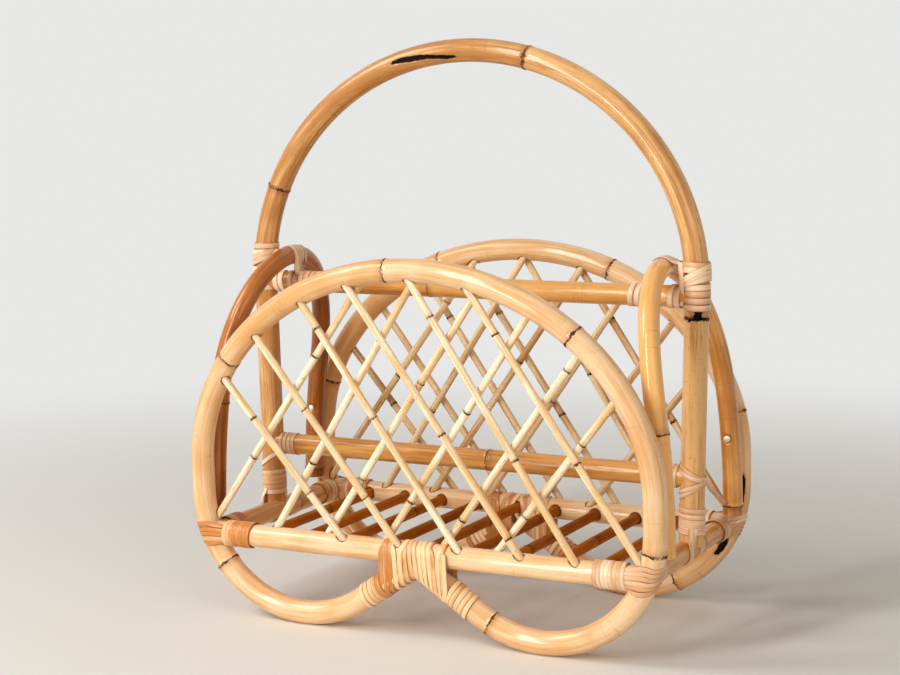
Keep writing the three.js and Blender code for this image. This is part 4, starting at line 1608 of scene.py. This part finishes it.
@dataclass
class Winder:
    """Lays strands of peel: coils, laps and straps, each a little uneven, as by hand."""

    seed: int
    width: float = 0.0034
    thickness: float = 0.0006
    steps: int = 28
    clearance: float = 0.0001
    overlap: float = 0.05
    rise: float = 0.0003
    wander: float = 0.0003
    shade: float = 0.0
    contrast: float = 0.55
    relax_rounds: int = 3
    chance: random.Random = field(init=False)

    def __post_init__(self) -> None:
        """Seed the unevenness."""
        self.chance = random.Random(self.seed)

    @property
    def pitch(self) -> float:
        """The distance between turns that overlap a little."""
        return self.width * (1.0 - self.overlap)

    def tone(self) -> float:
        """A random tone for one turn."""
        return self.shade + self.chance.uniform(-self.contrast, self.contrast)

    def turn(self) -> tuple[float, float, float]:
        """A random tone, rise and slip for one turn."""
        rise = self.chance.uniform
        return self.tone(), rise(0.0, self.rise), rise(-self.wander, self.wander)

    def turns(self, count: float, eased: bool) -> Iterator[tuple[int, int, float, float, float]]:
        """Go round some turns, passing from the tone, rise and slip of each to the next one's.

        Args:
            count: How many turns.
            eased: Whether they pass slowly at first and last.

        Yields:
            The turn and the step in it, with the tone, rise and slip there.
        """
        now, later = self.turn(), self.turn()
        for i in range(round(count * self.steps) + 1):
            turn, part = divmod(i, self.steps)
            if part == 0 and i:
                now, later = later, self.turn()
            share = part / self.steps
            share = float(smooth(share)) if eased else share
            yield turn, part, *(a + (b - a) * share for a, b in zip(now, later))

    def coil(
        self, start: Vector, along: Vector, first: Vector, second: Vector, radius: float,
        turns: float, pitch: float | None = None,
    ) -> Trail:
        """Wind turns round a straight pole.

        Args:
            start: A point on the pole's axis.
            along: The way the turns go on.
            first: The direction of the first point from the axis.
            second: The direction a quarter turn on.
            radius: The pole's radius.
            turns: How many turns.
            pitch: The distance between turns, or nothing for turns that overlap a little.

        Returns:
            The strand.
        """
        trail = Trail()
        pitch = pitch or self.pitch
        along = along.normalized()
        for turn, part, tone, rise, slip in self.turns(turns, eased=True):
            share = part / self.steps
            angle = 2 * math.pi * share
            normal = (first * math.cos(angle) + second * math.sin(angle)).normalized()
            axis = start + along * (pitch * (turn + share) + slip)
            trail.add(axis + normal * (radius + self.clearance + rise), normal, tone)
        return trail

    def strand(self, stops: Sequence[tuple[Vector, Vector]], spacing: float = 0.0012) -> Trail:
        """Lay one smooth strand through some stops.

        Args:
            stops: Points on what the strand lies on, each with the direction of its outer side.
            spacing: The distance between the strand's points.

        Returns:
            The strand.
        """
        table = np.array([(*point, *lift) for point, lift in stops])
        count = max(4, round(run_of(table)[-1] / spacing))
        tone = self.tone()
        trail = Trail()
        for row in relax(spread(table, count), self.relax_rounds):
            trail.add(Vector(row[:3]), Vector(row[3:]), tone)
        return trail

    def bind(
        self, tree: PeelTree, name: str, strands: Sequence[Trail], finish: Material, seed: int
    ) -> None:
        """Make one binding out of its strands and let it stand for its node on the body."""
        piece = tree.strip(f"{name}_peel", strands, self.width, self.thickness, finish, seed)
        hand_in(piece, "peel", name)


def push_off(place: float, posts: Iterable[float], clear: float) -> float:
    """Move a place sideways until it is clear of the nearest post.

    Args:
        place: The place along a line.
        posts: Where the posts stand on it.
        clear: How far off it has to be.

    Returns:
        The cleared place.
    """
    nearest = min(posts, key=lambda post: abs(post - place), default=None)
    if nearest is None or abs(place - nearest) >= clear:
        return place
    return nearest + math.copysign(clear, place - nearest)


@dataclass
class CentreBinding:
    """The broad binding that ties a hoop's two foot ends under its base rail."""

    panel: Panel
    dowels: Dowels
    width: float = 0.0041
    low: float = -0.0277
    high: float = 0.0264
    turns: int = 14
    slant: float = 0.0034
    slant_middle: float = 0.005
    slant_half: float = 0.02
    dark_turns: int = 3
    dark_tone: float = 0.5
    dark_contrast: float = 0.3
    cane_clearance: float = 1.25
    cane_side: float = 0.55
    dowel_side: float = 0.75
    tuck: float = 0.004
    relax_rounds: int = 2
    foot_start: float = 0.0300
    foot_turns: float = 5.0
    lead_rise: float = 0.004
    winder: Winder = field(init=False)

    def __post_init__(self) -> None:
        """Take up the peel."""
        self.winder = Winder(self.panel.seed + BINDING_SEED, width=self.width)

    def long_strand(self) -> Trail:
        """The strand that goes round the base rail and the ends of the feet together.

        Returns:
            The strand.
        """
        panel, width = self.panel, self.winder.width
        rail = max(panel.rail_radius, panel.pole_radius) + self.winder.clearance
        foot = panel.pole_radius + self.winder.clearance
        run, drop = panel.foot_fall
        front, risen = panel.way(0.0, 0.0, 1.0), panel.way(0.0, 1.0)
        canes = [low.x for _, low, _ in panel.canes()]
        off_cane = panel.cane_radius * self.cane_clearance + width / 2
        trail = Trail()
        for turn, part, tone, rise, slip in self.winder.turns(self.turns, eased=False):
            if turn < self.dark_turns:
                tone = self.dark_tone + tone * self.dark_contrast
            done = (turn * self.winder.steps + part) / (self.turns * self.winder.steps)
            angle = 2 * math.pi * (part / self.winder.steps)
            height, depth = math.cos(angle), math.sin(angle)
            across = self.low + width / 2 + done * (self.high - self.low - width)
            lean = max(0.0, 1.0 - ((across - self.slant_middle) / self.slant_half) ** 2)
            across += self.slant * lean * (1.0 - height) / 2 + slip
            if height > self.cane_side:
                across = push_off(across, canes, off_cane)
            elif depth < -self.dowel_side:
                across = push_off(across, self.dowels.places(), self.dowels.radius + width / 2)
            below = panel.meeting + abs(across) * drop / run + (foot - foot / run)
            centre = panel.place(across, below if height < 0 else 0.0)
            outward = normal = (risen * height + front * depth).normalized()
            if height < 0:
                hand = math.copysign(min(abs(across) / self.tuck, 1.0), across)
                under = panel.way(hand * drop, -run).normalized()
                normal = (under * -height + front * depth).normalized()
            trail.add(centre + outward * (rail + rise), normal, tone)
        table = np.array([tuple(point) for point in trail.points])
        trail.points = [Vector(row) for row in relax(table, self.relax_rounds)]
        return trail

    def lead(self) -> Trail:
        """The strand that crosses from the rail down to the right foot's coil.

        Returns:
            The strand.
        """
        panel = self.panel
        foot = panel.pole_radius + self.winder.clearance
        run, drop = panel.foot_fall
        front = panel.way(0.0, 0.0, 1.0)
        far = panel.place(0.0, panel.meeting) + panel.way(run, drop) * self.foot_start
        high = panel.place(self.high - self.winder.width / 2, self.lead_rise)
        round_foot = (front + panel.way(drop, -run).normalized()).normalized()
        return self.winder.strand([
            (high + front * (panel.rail_radius + 0.0011), front),
            (high.lerp(far, 0.5) + front * (foot + 0.0009), front),
            (far + front * (foot + 0.0008), front),
            (far + round_foot * (foot + 0.0006), round_foot),
        ])

    def build(self, shop: Workshop) -> None:
        """Make the binding.

        Args:
            shop: What the pieces are made with.
        """
        panel = self.panel
        foot = panel.pole_radius + self.winder.clearance
        run, drop = panel.foot_fall
        front = panel.way(0.0, 0.0, 1.0)
        strands = [self.long_strand()]
        for hand in (-1, 1):
            along = panel.way(hand * run, drop).normalized()
            top = panel.way(-hand * drop, run).normalized()
            start = panel.place(0.0, panel.meeting) + along * self.foot_start
            strands.append(self.winder.coil(start, along, -front, top, foot, self.foot_turns))
        strands.append(self.lead())
        name = f"{panel.side.word}_centre_binding"
        self.winder.bind(shop.peel, name, strands, shop.finishes.warm_peel, self.winder.seed)


@dataclass
class CornerBinding:
    """A corner's binding: strands laid flat round the hoop, under coils on both rails."""

    panel: Panel
    end: EndFrame
    width: float = 0.0036
    right_bands: int = 6
    left_bands: int = 5
    right_shade: float = 0.1
    left_shade: float = 0.3
    rail_turns: float = 8.0
    rail_pitch: float = 0.77
    rail_lap: float = 0.7
    end_turns: float = 5.0
    end_pitch: float = 0.0034
    end_lap: float = 0.012
    band_pitch: float = 0.0034
    band_stops: int = 11
    band_start_degrees: float = -14.0
    band_sweep_degrees: float = 122.0
    fan: float = 0.82
    setback: float = 0.0135
    sag: float = 0.0012
    gather: float = 0.3
    lift_middle: float = 0.0025
    winder: Winder = field(init=False)

    def __post_init__(self) -> None:
        """Take up the peel."""
        seed = self.panel.seed + BINDING_SEED + 5 + self.end.hand
        shade = self.right_shade if self.end.end is End.RIGHT else self.left_shade
        self.winder = Winder(seed, width=self.width, shade=shade)

    def hoop_point(self, z: float) -> Vector:
        """The middle of the hoop at a height near the corner."""
        panel = self.panel
        along, rise = panel.foot_centre
        height = z - panel.rail_height
        out = math.sqrt(max(panel.foot_radius ** 2 - (height - rise) ** 2, 0.0))
        y = panel.side.value * (panel.half_spacing + height * math.sin(panel.lean))
        return Vector((self.end.hand * (along + out), y, z))

    def band(self, offset: float) -> Trail:
        """Lay one strand from the base rail round the outside of the hoop to the end rail.

        Args:
            offset: How far above the middle of the bands it lies.

        Returns:
            The strand.
        """
        panel, end = self.panel, self.end
        hand, side = end.hand, panel.side.value
        lift = self.winder.clearance + self.winder.chance.uniform(0.0, self.winder.rise)
        fan = self.fan * offset / panel.rail_radius
        rail_lift = (panel.outwards * math.cos(fan) + UP * math.sin(fan)).normalized()
        end_lift = (end.outwards * math.cos(fan) + UP * math.sin(fan)).normalized()
        near = panel.hoop_at_rail - self.setback
        stops = []
        for x in (near - self.rail_turns * self.winder.width * self.rail_lap, near):
            centre = Vector((hand * x, side * panel.half_spacing, panel.rail_height))
            stops.append((centre + rail_lift * (panel.rail_radius + lift), rail_lift))
        for i in range(self.band_stops):
            done = i / (self.band_stops - 1)
            angle = math.radians(self.band_start_degrees + done * self.band_sweep_degrees)
            share = min(max(angle / (math.pi / 2), 0.0), 1.0)
            z = panel.rail_height + offset * (1.0 - self.gather * share)
            z += self.lift_middle * share * share - self.sag * math.sin(math.pi * share)
            normal = panel.outwards * math.cos(angle) + end.outwards * math.sin(angle)
            stops.append((self.hoop_point(z) + normal * (panel.pole_radius * 1.03 + lift), normal))
        near = panel.half_spacing - self.setback
        for y in (near, near - self.end_lap):
            centre = Vector((hand * end.rail_half, side * y, end.rail_height))
            stops.append((centre + end_lift * (end.rail_radius + lift), end_lift))
        return self.winder.strand(stops)

    def build(self, shop: Workshop) -> None:
        """Make the binding.

        Args:
            shop: What the pieces are made with.
        """
        panel, end = self.panel, self.end
        hand, side = end.hand, panel.side.value
        right = end.end is End.RIGHT
        bands = self.right_bands if right else self.left_bands
        strands = []
        for k in range(bands):
            slip = self.winder.chance.uniform(-self.winder.wander, self.winder.wander)
            strands.append(self.band((k - (bands - 1) / 2) * self.band_pitch + slip))
        near = panel.hoop_at_rail - self.setback
        start = Vector((hand * near, side * panel.half_spacing, panel.rail_height))
        strands.append(self.winder.coil(
            start, -end.outwards, -panel.outwards, -UP, panel.rail_radius + self.winder.thickness,
            self.rail_turns, self.winder.width * self.rail_pitch,
        ))
        near = panel.half_spacing - panel.pole_radius - self.winder.width / 2
        start = Vector((hand * end.rail_half, side * near, end.rail_height))
        strands.append(self.winder.coil(
            start, -panel.outwards, -end.outwards, -UP, end.rail_radius + self.winder.thickness,
            self.end_turns, self.end_pitch,
        ))
        name = f"{panel.side.word}_{end.end.word}_corner_binding"
        finish = shop.finishes.peel if right else shop.finishes.warm_peel
        self.winder.bind(shop.peel, name, strands, finish, panel.seed + BINDING_SEED + 2)


@dataclass
class PostBindings:
    """The bindings of one post: at its foot, at the middle rail and at its top.

    The rings' heights are in millimetres, on the inner and on the outer side of the post.
    """

    end: EndFrame
    carrier: Carrier
    seed: int = 260
    right_shade: float = 0.0
    # painted shade: the left post's bindings are darker, as less light reaches them
    left_shade: float = 0.15
    contrast: float = 0.35
    foot_width: float = 0.0043
    middle_width: float = 0.0036
    top_width: float = 0.0048
    ring_degrees: range = range(-150, 211, 15)
    ring_rise: float = 0.0002
    foot_low: float = 0.0705
    foot_high: float = 0.0885
    foot_turns: float = 5.0
    foot_laps: int = 2
    lap_degrees: tuple[float, ...] = (10.0, -20.0, -55.0, -90.0, -130.0)
    middle_turns: float = 4.0
    left_middle_ring: Pair = (0.1045, 0.092)
    knot_height: float = 0.1075
    knot_height_share: float = 0.12
    tie_height: float = 0.079
    right_rings_mm: tuple[Pair, ...] = (
        (240.7, 241.2), (236.4, 236.6), (231.9, 231.8), (227.4, 227.0), (256.8, 256.0),
        (253.4, 252.6), (242.6, 247.5), (243.4, 251.2), (244.4, 255.2),
    )
    left_rings_mm: tuple[Pair, ...] = (
        (229.5, 229.0), (234.0, 233.6), (238.5, 238.3), (243.0, 243.2), (261.0, 260.4),
        (256.6, 255.4), (257.5, 250.5), (254.0, 246.6),
    )
    right_straps: int = 3
    left_straps: int = 4
    right_flare: float = 0.0085
    left_flare: float = 0.0040
    strap_spread: float = 0.0055
    strap_stops: int = 7
    strap_sweep_degrees: float = 135.0
    right_coil: Pair = (-0.0035, 3.0)
    left_coil: Pair = (0.0075, 7.0)
    inner_turns: float = 2.0
    cross_heights: tuple[float, ...] = (0.2580, 0.2520, 0.2460, 0.2400, 0.2340, 0.2285)
    winder: Winder = field(init=False)

    def around(self, height: float, degrees: float, off: float) -> tuple[Vector, Vector]:
        """A place on the post.

        Args:
            height: Its height.
            degrees: How far round the post it is, from the front towards the outer side.
            off: How far off the post's surface it is.

        Returns:
            The point and the direction away from the post.
        """
        hand, angle = self.end.hand, math.radians(degrees)
        normal = Vector((hand * math.sin(angle), -math.cos(angle), 0.0))
        axis = Vector((hand * self.carrier.post_at(height), 0.0, height))
        return axis + normal * (self.carrier.radius + off), normal

    def ring(self, inner: float, outer: float, off: float = 0.0003) -> Trail:
        """Lay one strand all round the post, tilted between its inner and its outer side.

        Args:
            inner: Its height on the inner side.
            outer: Its height on the outer side.
            off: How far off the post's surface it is.

        Returns:
            The strand.
        """
        stops = []
        for i, degrees in enumerate(self.ring_degrees):
            height = inner + (outer - inner) * (1.0 + math.sin(math.radians(degrees))) / 2
            rise = self.ring_rise * i / (len(self.ring_degrees) - 1)
            stops.append(self.around(height, degrees, off + rise))
        return self.winder.strand(stops)

    def on_rail(
        self, divider: Divider, start: float, turns: float, pitch: float | None = None
    ) -> Trail:
        """Wind a coil inwards along a divider rail.

        Args:
            divider: The rail.
            start: How far out it starts.
            turns: How many turns.
            pitch: The distance between turns, or nothing for turns that overlap a little.

        Returns:
            The strand.
        """
        out = self.end.outwards
        spot = out * start + UP * divider.height
        radius = self.carrier.divider_radius
        return self.winder.coil(spot, -out, -FRONTWARDS, UP, radius, turns, pitch)

    def lap(self, side: int, k: int) -> Trail:
        """Lay one strand from the post's foot down and round under the end rail.

        Args:
            side: 1 for the rear side of the post, -1 for its front side.
            k: Which lap of that side it is.

        Returns:
            The strand.
        """
        end, out = self.end, self.end.outwards
        turned = 90.0 + side * (54.0 + 18.0 * k)
        stops = [self.around(0.0810, turned, -0.0004), self.around(0.0740, turned, 0.0003)]
        face = (stops[-1][1] + out * 0.5 + UP * 0.4).normalized()
        knee = out * (end.rail_half + 0.0078)
        stops.append((knee + Vector((0.0, side * (0.0088 + 0.0030 * k), 0.0690)), face))
        for degrees in self.lap_degrees:
            angle = math.radians(degrees)
            normal = out * math.cos(angle) + UP * math.sin(angle)
            y = side * (0.0092 + self.winder.width * 0.8 * k)
            centre = Vector((end.hand * end.rail_half, y, end.rail_height))
            stops.append((centre + normal * (end.rail_radius + 0.0004 + 0.0003 * k), normal))
        return self.winder.strand(stops)

    def foot_strands(self) -> list[Trail]:
        """Lay the strands at the post's foot: turns round the post and laps under the end rail.

        Returns:
            The strands.
        """
        carrier, out = self.carrier, self.end.outwards
        low, high = (out * carrier.post_at(z) + UP * z for z in (self.foot_low, self.foot_high))
        pitch = (self.foot_high - self.foot_low) / self.foot_turns
        strands = [self.winder.coil(
            high, low - high, -out, FRONTWARDS, carrier.radius, self.foot_turns, pitch,
        )]
        for side in (-1, 1):
            strands += [self.lap(side, k) for k in range(self.foot_laps)]
        return strands

    def middle_strands(self) -> list[Trail]:
        """Lay the coil at the middle rail's end, and at the right post its crossed lashing.

        Returns:
            The strands.
        """
        carrier, end = self.carrier, self.end
        divider = carrier.dividers[0]
        begin = carrier.post_at(divider.height) - carrier.radius - 0.001
        strands = [self.on_rail(divider, begin, self.middle_turns)]
        if end.end is End.LEFT:
            strands.append(self.ring(*self.left_middle_ring))
            return strands
        for k in range(2):
            for inner in (0.1195 - 0.0046 * k, 0.0955 + 0.0042 * k):
                outer = self.knot_height + (inner - self.knot_height) * self.knot_height_share
                strands.append(self.ring(inner, outer, 0.0002 + 0.0004 * k))
        leg = Vector((
            end.hand * end.arch_at(self.tie_height) - 0.003,
            end.half_width - end.radius - 0.0002,
            self.tie_height,
        ))
        tie = [
            self.around(0.110, 60, 0.0008), self.around(0.108, 95, 0.0010),
            self.around(0.1045, 125, 0.0014),
        ]
        way = (leg - tie[-1][0]).normalized()
        side = Vector((0.5, -0.86, 0.1)).normalized()
        tie += [(tie[-1][0] + way * 0.012, side), (leg, side)]
        strands.append(self.winder.strand(tie))
        return strands

    def strap(self, k: int, flare: float) -> Trail:
        """Lay one strand from the upper rail over the arch's top down behind the post.

        Args:
            k: Which of the straps it is, from the front.
            flare: How far in along the rail it starts.

        Returns:
            The strand.
        """
        carrier, end, out = self.carrier, self.end, self.end.outwards
        height = carrier.dividers[1].height
        inner = end.top_half - end.radius
        y = (k - 1.2) * self.winder.width * 0.9
        rail_y = min(max(y * 0.8, -self.strap_spread), self.strap_spread)
        rail_z = height + math.sqrt(carrier.divider_radius ** 2 - rail_y ** 2)
        rail_lift = Vector((0.0, rail_y, rail_z - height)).normalized()
        stops = []
        for forward, off in ((0.0, 0.0006), (0.0040, 0.0008)):
            spot = Vector((end.hand * (inner - flare + forward), rail_y, rail_z))
            stops.append((spot + rail_lift * off, rail_lift))
        drop = (end.top_height - end.spring_height) * (y / end.half_width) ** 2 / 2
        top = Vector((end.hand * end.top_half, 0.0, end.top_height)) + Vector((0.0, y, -drop))
        for i in range(self.strap_stops):
            done = i / (self.strap_stops - 1)
            angle = math.radians(170.0 - done * self.strap_sweep_degrees)
            normal = out * math.cos(angle) + UP * math.sin(angle)
            stops.append((top + normal * (end.radius + 0.0003), normal))
        for degrees, z in ((-76.0, 0.2560), (-60.0, 0.2550)):
            turned = degrees if k < 1 else 180.0 - degrees
            stops.append(self.around(z - 0.0008 * k, turned, 0.0016))
        return self.winder.strand(stops)

    def top_strands(self) -> list[Trail]:
        """Lay the strands at the post's top, over the arch and round the upper rail.

        Returns:
            The strands.
        """
        carrier, end = self.carrier, self.end
        divider = carrier.dividers[1]
        right = end.end is End.RIGHT
        rings = self.right_rings_mm if right else self.left_rings_mm
        strands = [
            self.ring(inner / 1000, outer / 1000, 0.0003 + 0.0001 * i)
            for i, (inner, outer) in enumerate(rings)
        ]
        flare = self.right_flare if right else self.left_flare
        for k in range(self.right_straps if right else self.left_straps):
            strands.append(self.strap(k, flare))
        begin, turns = self.right_coil if right else self.left_coil
        begin += end.top_half - end.radius
        pitch = self.winder.width * 0.98
        strands.append(self.on_rail(divider, begin, turns, pitch))
        begin = carrier.post_at(divider.height) - carrier.radius - 0.0015
        strands.append(self.on_rail(divider, begin, self.inner_turns))
        if right:
            for degrees, turned in ((-56.0, -18.0), (-124.0, -162.0)):
                strands.append(self.winder.strand([
                    (self.around(z, degrees, 0.0024)[0], self.around(z, turned, 0.0)[1])
                    for z in self.cross_heights
                ]))
        return strands

    def build(self, shop: Workshop) -> None:
        """Make the post's three bindings.

        Args:
            shop: What the pieces are made with.
        """
        shade = self.right_shade if self.end.end is End.RIGHT else self.left_shade
        seed = self.seed + self.end.hand
        for word, lay, width in (
            ("post_foot", self.foot_strands, self.foot_width),
            ("middle_rail", self.middle_strands, self.middle_width),
            ("post_top", self.top_strands, self.top_width),
        ):
            self.winder = Winder(seed + len(word), width, shade=shade, contrast=self.contrast)
            name = f"{self.end.end.word}_{word}_binding"
            self.winder.bind(shop.peel, name, lay(), shop.finishes.peel, seed)


@dataclass(frozen=True)
class Lamp:
    """One soft lamp, which points at the middle of the basket."""

    name: str
    place: tuple[float, float, float]
    width: float
    height: float
    watts: float
    colour: Colour

    def hang(self, aim: Vector) -> None:
        """Put the lamp up, facing a point."""
        data = bpy.data.lights.new(self.name, "AREA")
        data.shape = "RECTANGLE"
        data.size, data.size_y = self.width, self.height
        data.energy = self.watts
        data.color = self.colour
        place = Vector(self.place)
        turn = (place - aim).to_track_quat("Z", "Y").to_matrix().to_4x4()
        link(self.name, data).matrix_world = Matrix.Translation(place) @ turn


@dataclass
class Studio:
    """The pale floor, the soft lamps and the camera at the photograph's place."""

    camera_place: tuple[float, float, float] = (0.6011, -1.2242, 0.3722)
    azimuth_degrees: float = 26.72
    elevation_degrees: float = 3.55
    roll_degrees: float = -0.64
    focal_pixels: float = 1900.0
    picture_width_pixels: float = 900.0
    principal_shift: float = -0.1371
    sensor_width_mm: float = 36.0
    clip_start: float = 0.05
    clip_end: float = 50.0
    even_light: Colour = (1.0, 0.92, 0.80)
    even_strength: float = 0.2
    floor_reach: float = 30.0
    floor_drop: float = 0.0002
    aim_height: float = 0.2
    lamps: tuple[Lamp, ...] = (
        Lamp("window", (-0.65, -1.95, 1.05), 0.34, 1.9, 33.0, (1.0, 0.98, 0.95)),
        Lamp("key", (-1.5, -0.9, 1.7), 0.9, 0.9, 22.0, (1.0, 0.975, 0.94)),
        Lamp("fill", (1.7, -1.3, 1.1), 1.2, 1.2, 11.0, (1.0, 0.85, 0.66)),
        Lamp("rim", (0.4, 1.6, 1.6), 1.6, 1.6, 3.0, (1.0, 0.95, 0.88)),
    )

    def camera(self) -> None:
        """Place the camera."""
        data = bpy.data.cameras.new("photo_camera")
        data.sensor_width = self.sensor_width_mm
        data.lens = self.sensor_width_mm * self.focal_pixels / self.picture_width_pixels
        data.shift_y = self.principal_shift
        data.clip_start = self.clip_start
        data.clip_end = self.clip_end
        azimuth = math.radians(self.azimuth_degrees)
        elevation = math.radians(self.elevation_degrees)
        roll = math.radians(self.roll_degrees)
        back = Vector((
            math.sin(azimuth) * math.cos(elevation),
            -math.cos(azimuth) * math.cos(elevation),
            math.sin(elevation),
        ))
        right = UP.cross(back).normalized()
        above = back.cross(right)
        turned = right * math.cos(roll) + above * math.sin(roll)
        risen = above * math.cos(roll) - right * math.sin(roll)
        camera = link("photo_camera", data)
        basis = Matrix((turned, risen, back)).transposed().to_4x4()
        camera.matrix_world = Matrix.Translation(Vector(self.camera_place)) @ basis
        bpy.context.scene.camera = camera

    def world(self, backdrop: Colour) -> None:
        """Set the even light all round, seen as a plain backdrop of one colour."""
        world = bpy.data.worlds.new("studio")
        world.use_nodes = True
        world.node_tree.nodes.clear()
        graph = Graph(world.node_tree)
        sockets = {"Color": (*self.even_light, 1.0), "Strength": self.even_strength}
        even = graph.node("ShaderNodeBackground", None, sockets)
        sockets = {"Color": (*backdrop, 1.0), "Strength": 1.0}
        pale = graph.node("ShaderNodeBackground", None, sockets)
        sockets = {"Fac": graph.looked_at(), 1: even, 2: pale}
        mixed = graph.node("ShaderNodeMixShader", None, sockets)
        graph.node("ShaderNodeOutputWorld", None, {"Surface": mixed})
        bpy.context.scene.world = world

    def floor(self, finish: Material) -> None:
        """Lay the floor, a hair below the feet."""
        reach = self.floor_reach
        mesh = bpy.data.meshes.new("floor")
        corners = [(x * reach, y * reach, 0.0) for x, y in ((-1, -1), (1, -1), (1, 1), (-1, 1))]
        mesh.from_pydata(corners, [], [(0, 1, 2, 3)])
        mesh.materials.append(finish)
        floor = link("floor", mesh)
        floor.location.z = -self.floor_drop

    def build(self, finishes: Finishes) -> None:
        """Set up the camera, the backdrop, the floor and the lamps.

        Args:
            finishes: The materials.
        """
        self.camera()
        self.world(finishes.backdrop)
        self.floor(finishes.floor)
        for lamp in self.lamps:
            lamp.hang(UP * self.aim_height)
        bpy.context.scene.view_settings.view_transform = "Standard"


def main() -> None:
    """Build the studio, the canes and the bindings, in that order."""
    logging.basicConfig(level=logging.INFO, format="%(name)s: %(message)s")
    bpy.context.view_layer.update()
    shop = Workshop(Finishes(), CaneTree(), PeelTree())
    Studio().build(shop.finishes)
    dowels = Dowels()
    carrier = Carrier()
    front_joints = (0.06, 0.214, 0.371, 0.517, 0.669, 0.829)
    rear_joints = (0.135, 0.28, 0.425, 0.57, 0.715, 0.86)
    panels = {
        # the shades paint shade: a darker top on the front hoop and a darker rear hoop
        Side.FRONT: Panel(Side.FRONT, 10, front_joints, (0.0, 0.0, 0.0, 0.45, 0.5, 0.0, 0.0)),
        Side.REAR: Panel(Side.REAR, 40, rear_joints, (0.0, 0.2, 0.3, 0.6, 0.7, 1.0, 0.5)),
    }
    ends = {
        End.LEFT: EndFrame(End.LEFT, carrier, 100, (0.0, 0.0, 0.3, 0.3)),
        # the right arch's front leg and top are lightened as a painted sheen; its rear leg is
        # darker
        End.RIGHT: EndFrame(End.RIGHT, carrier, 120, (-0.5, -0.8, 0.8, 0.8)),
    }
    for panel in panels.values():
        panel.build(shop, dowels)
    dowels.build(shop)
    carrier.build(shop)
    for end in ends.values():
        end.build(shop, panels)
    for panel in panels.values():
        CentreBinding(panel, dowels).build(shop)
        for end in ends.values():
            CornerBinding(panel, end).build(shop)
    for end in ends.values():
        PostBindings(end, carrier).build(shop)


if __name__ == "__main__":
    main()
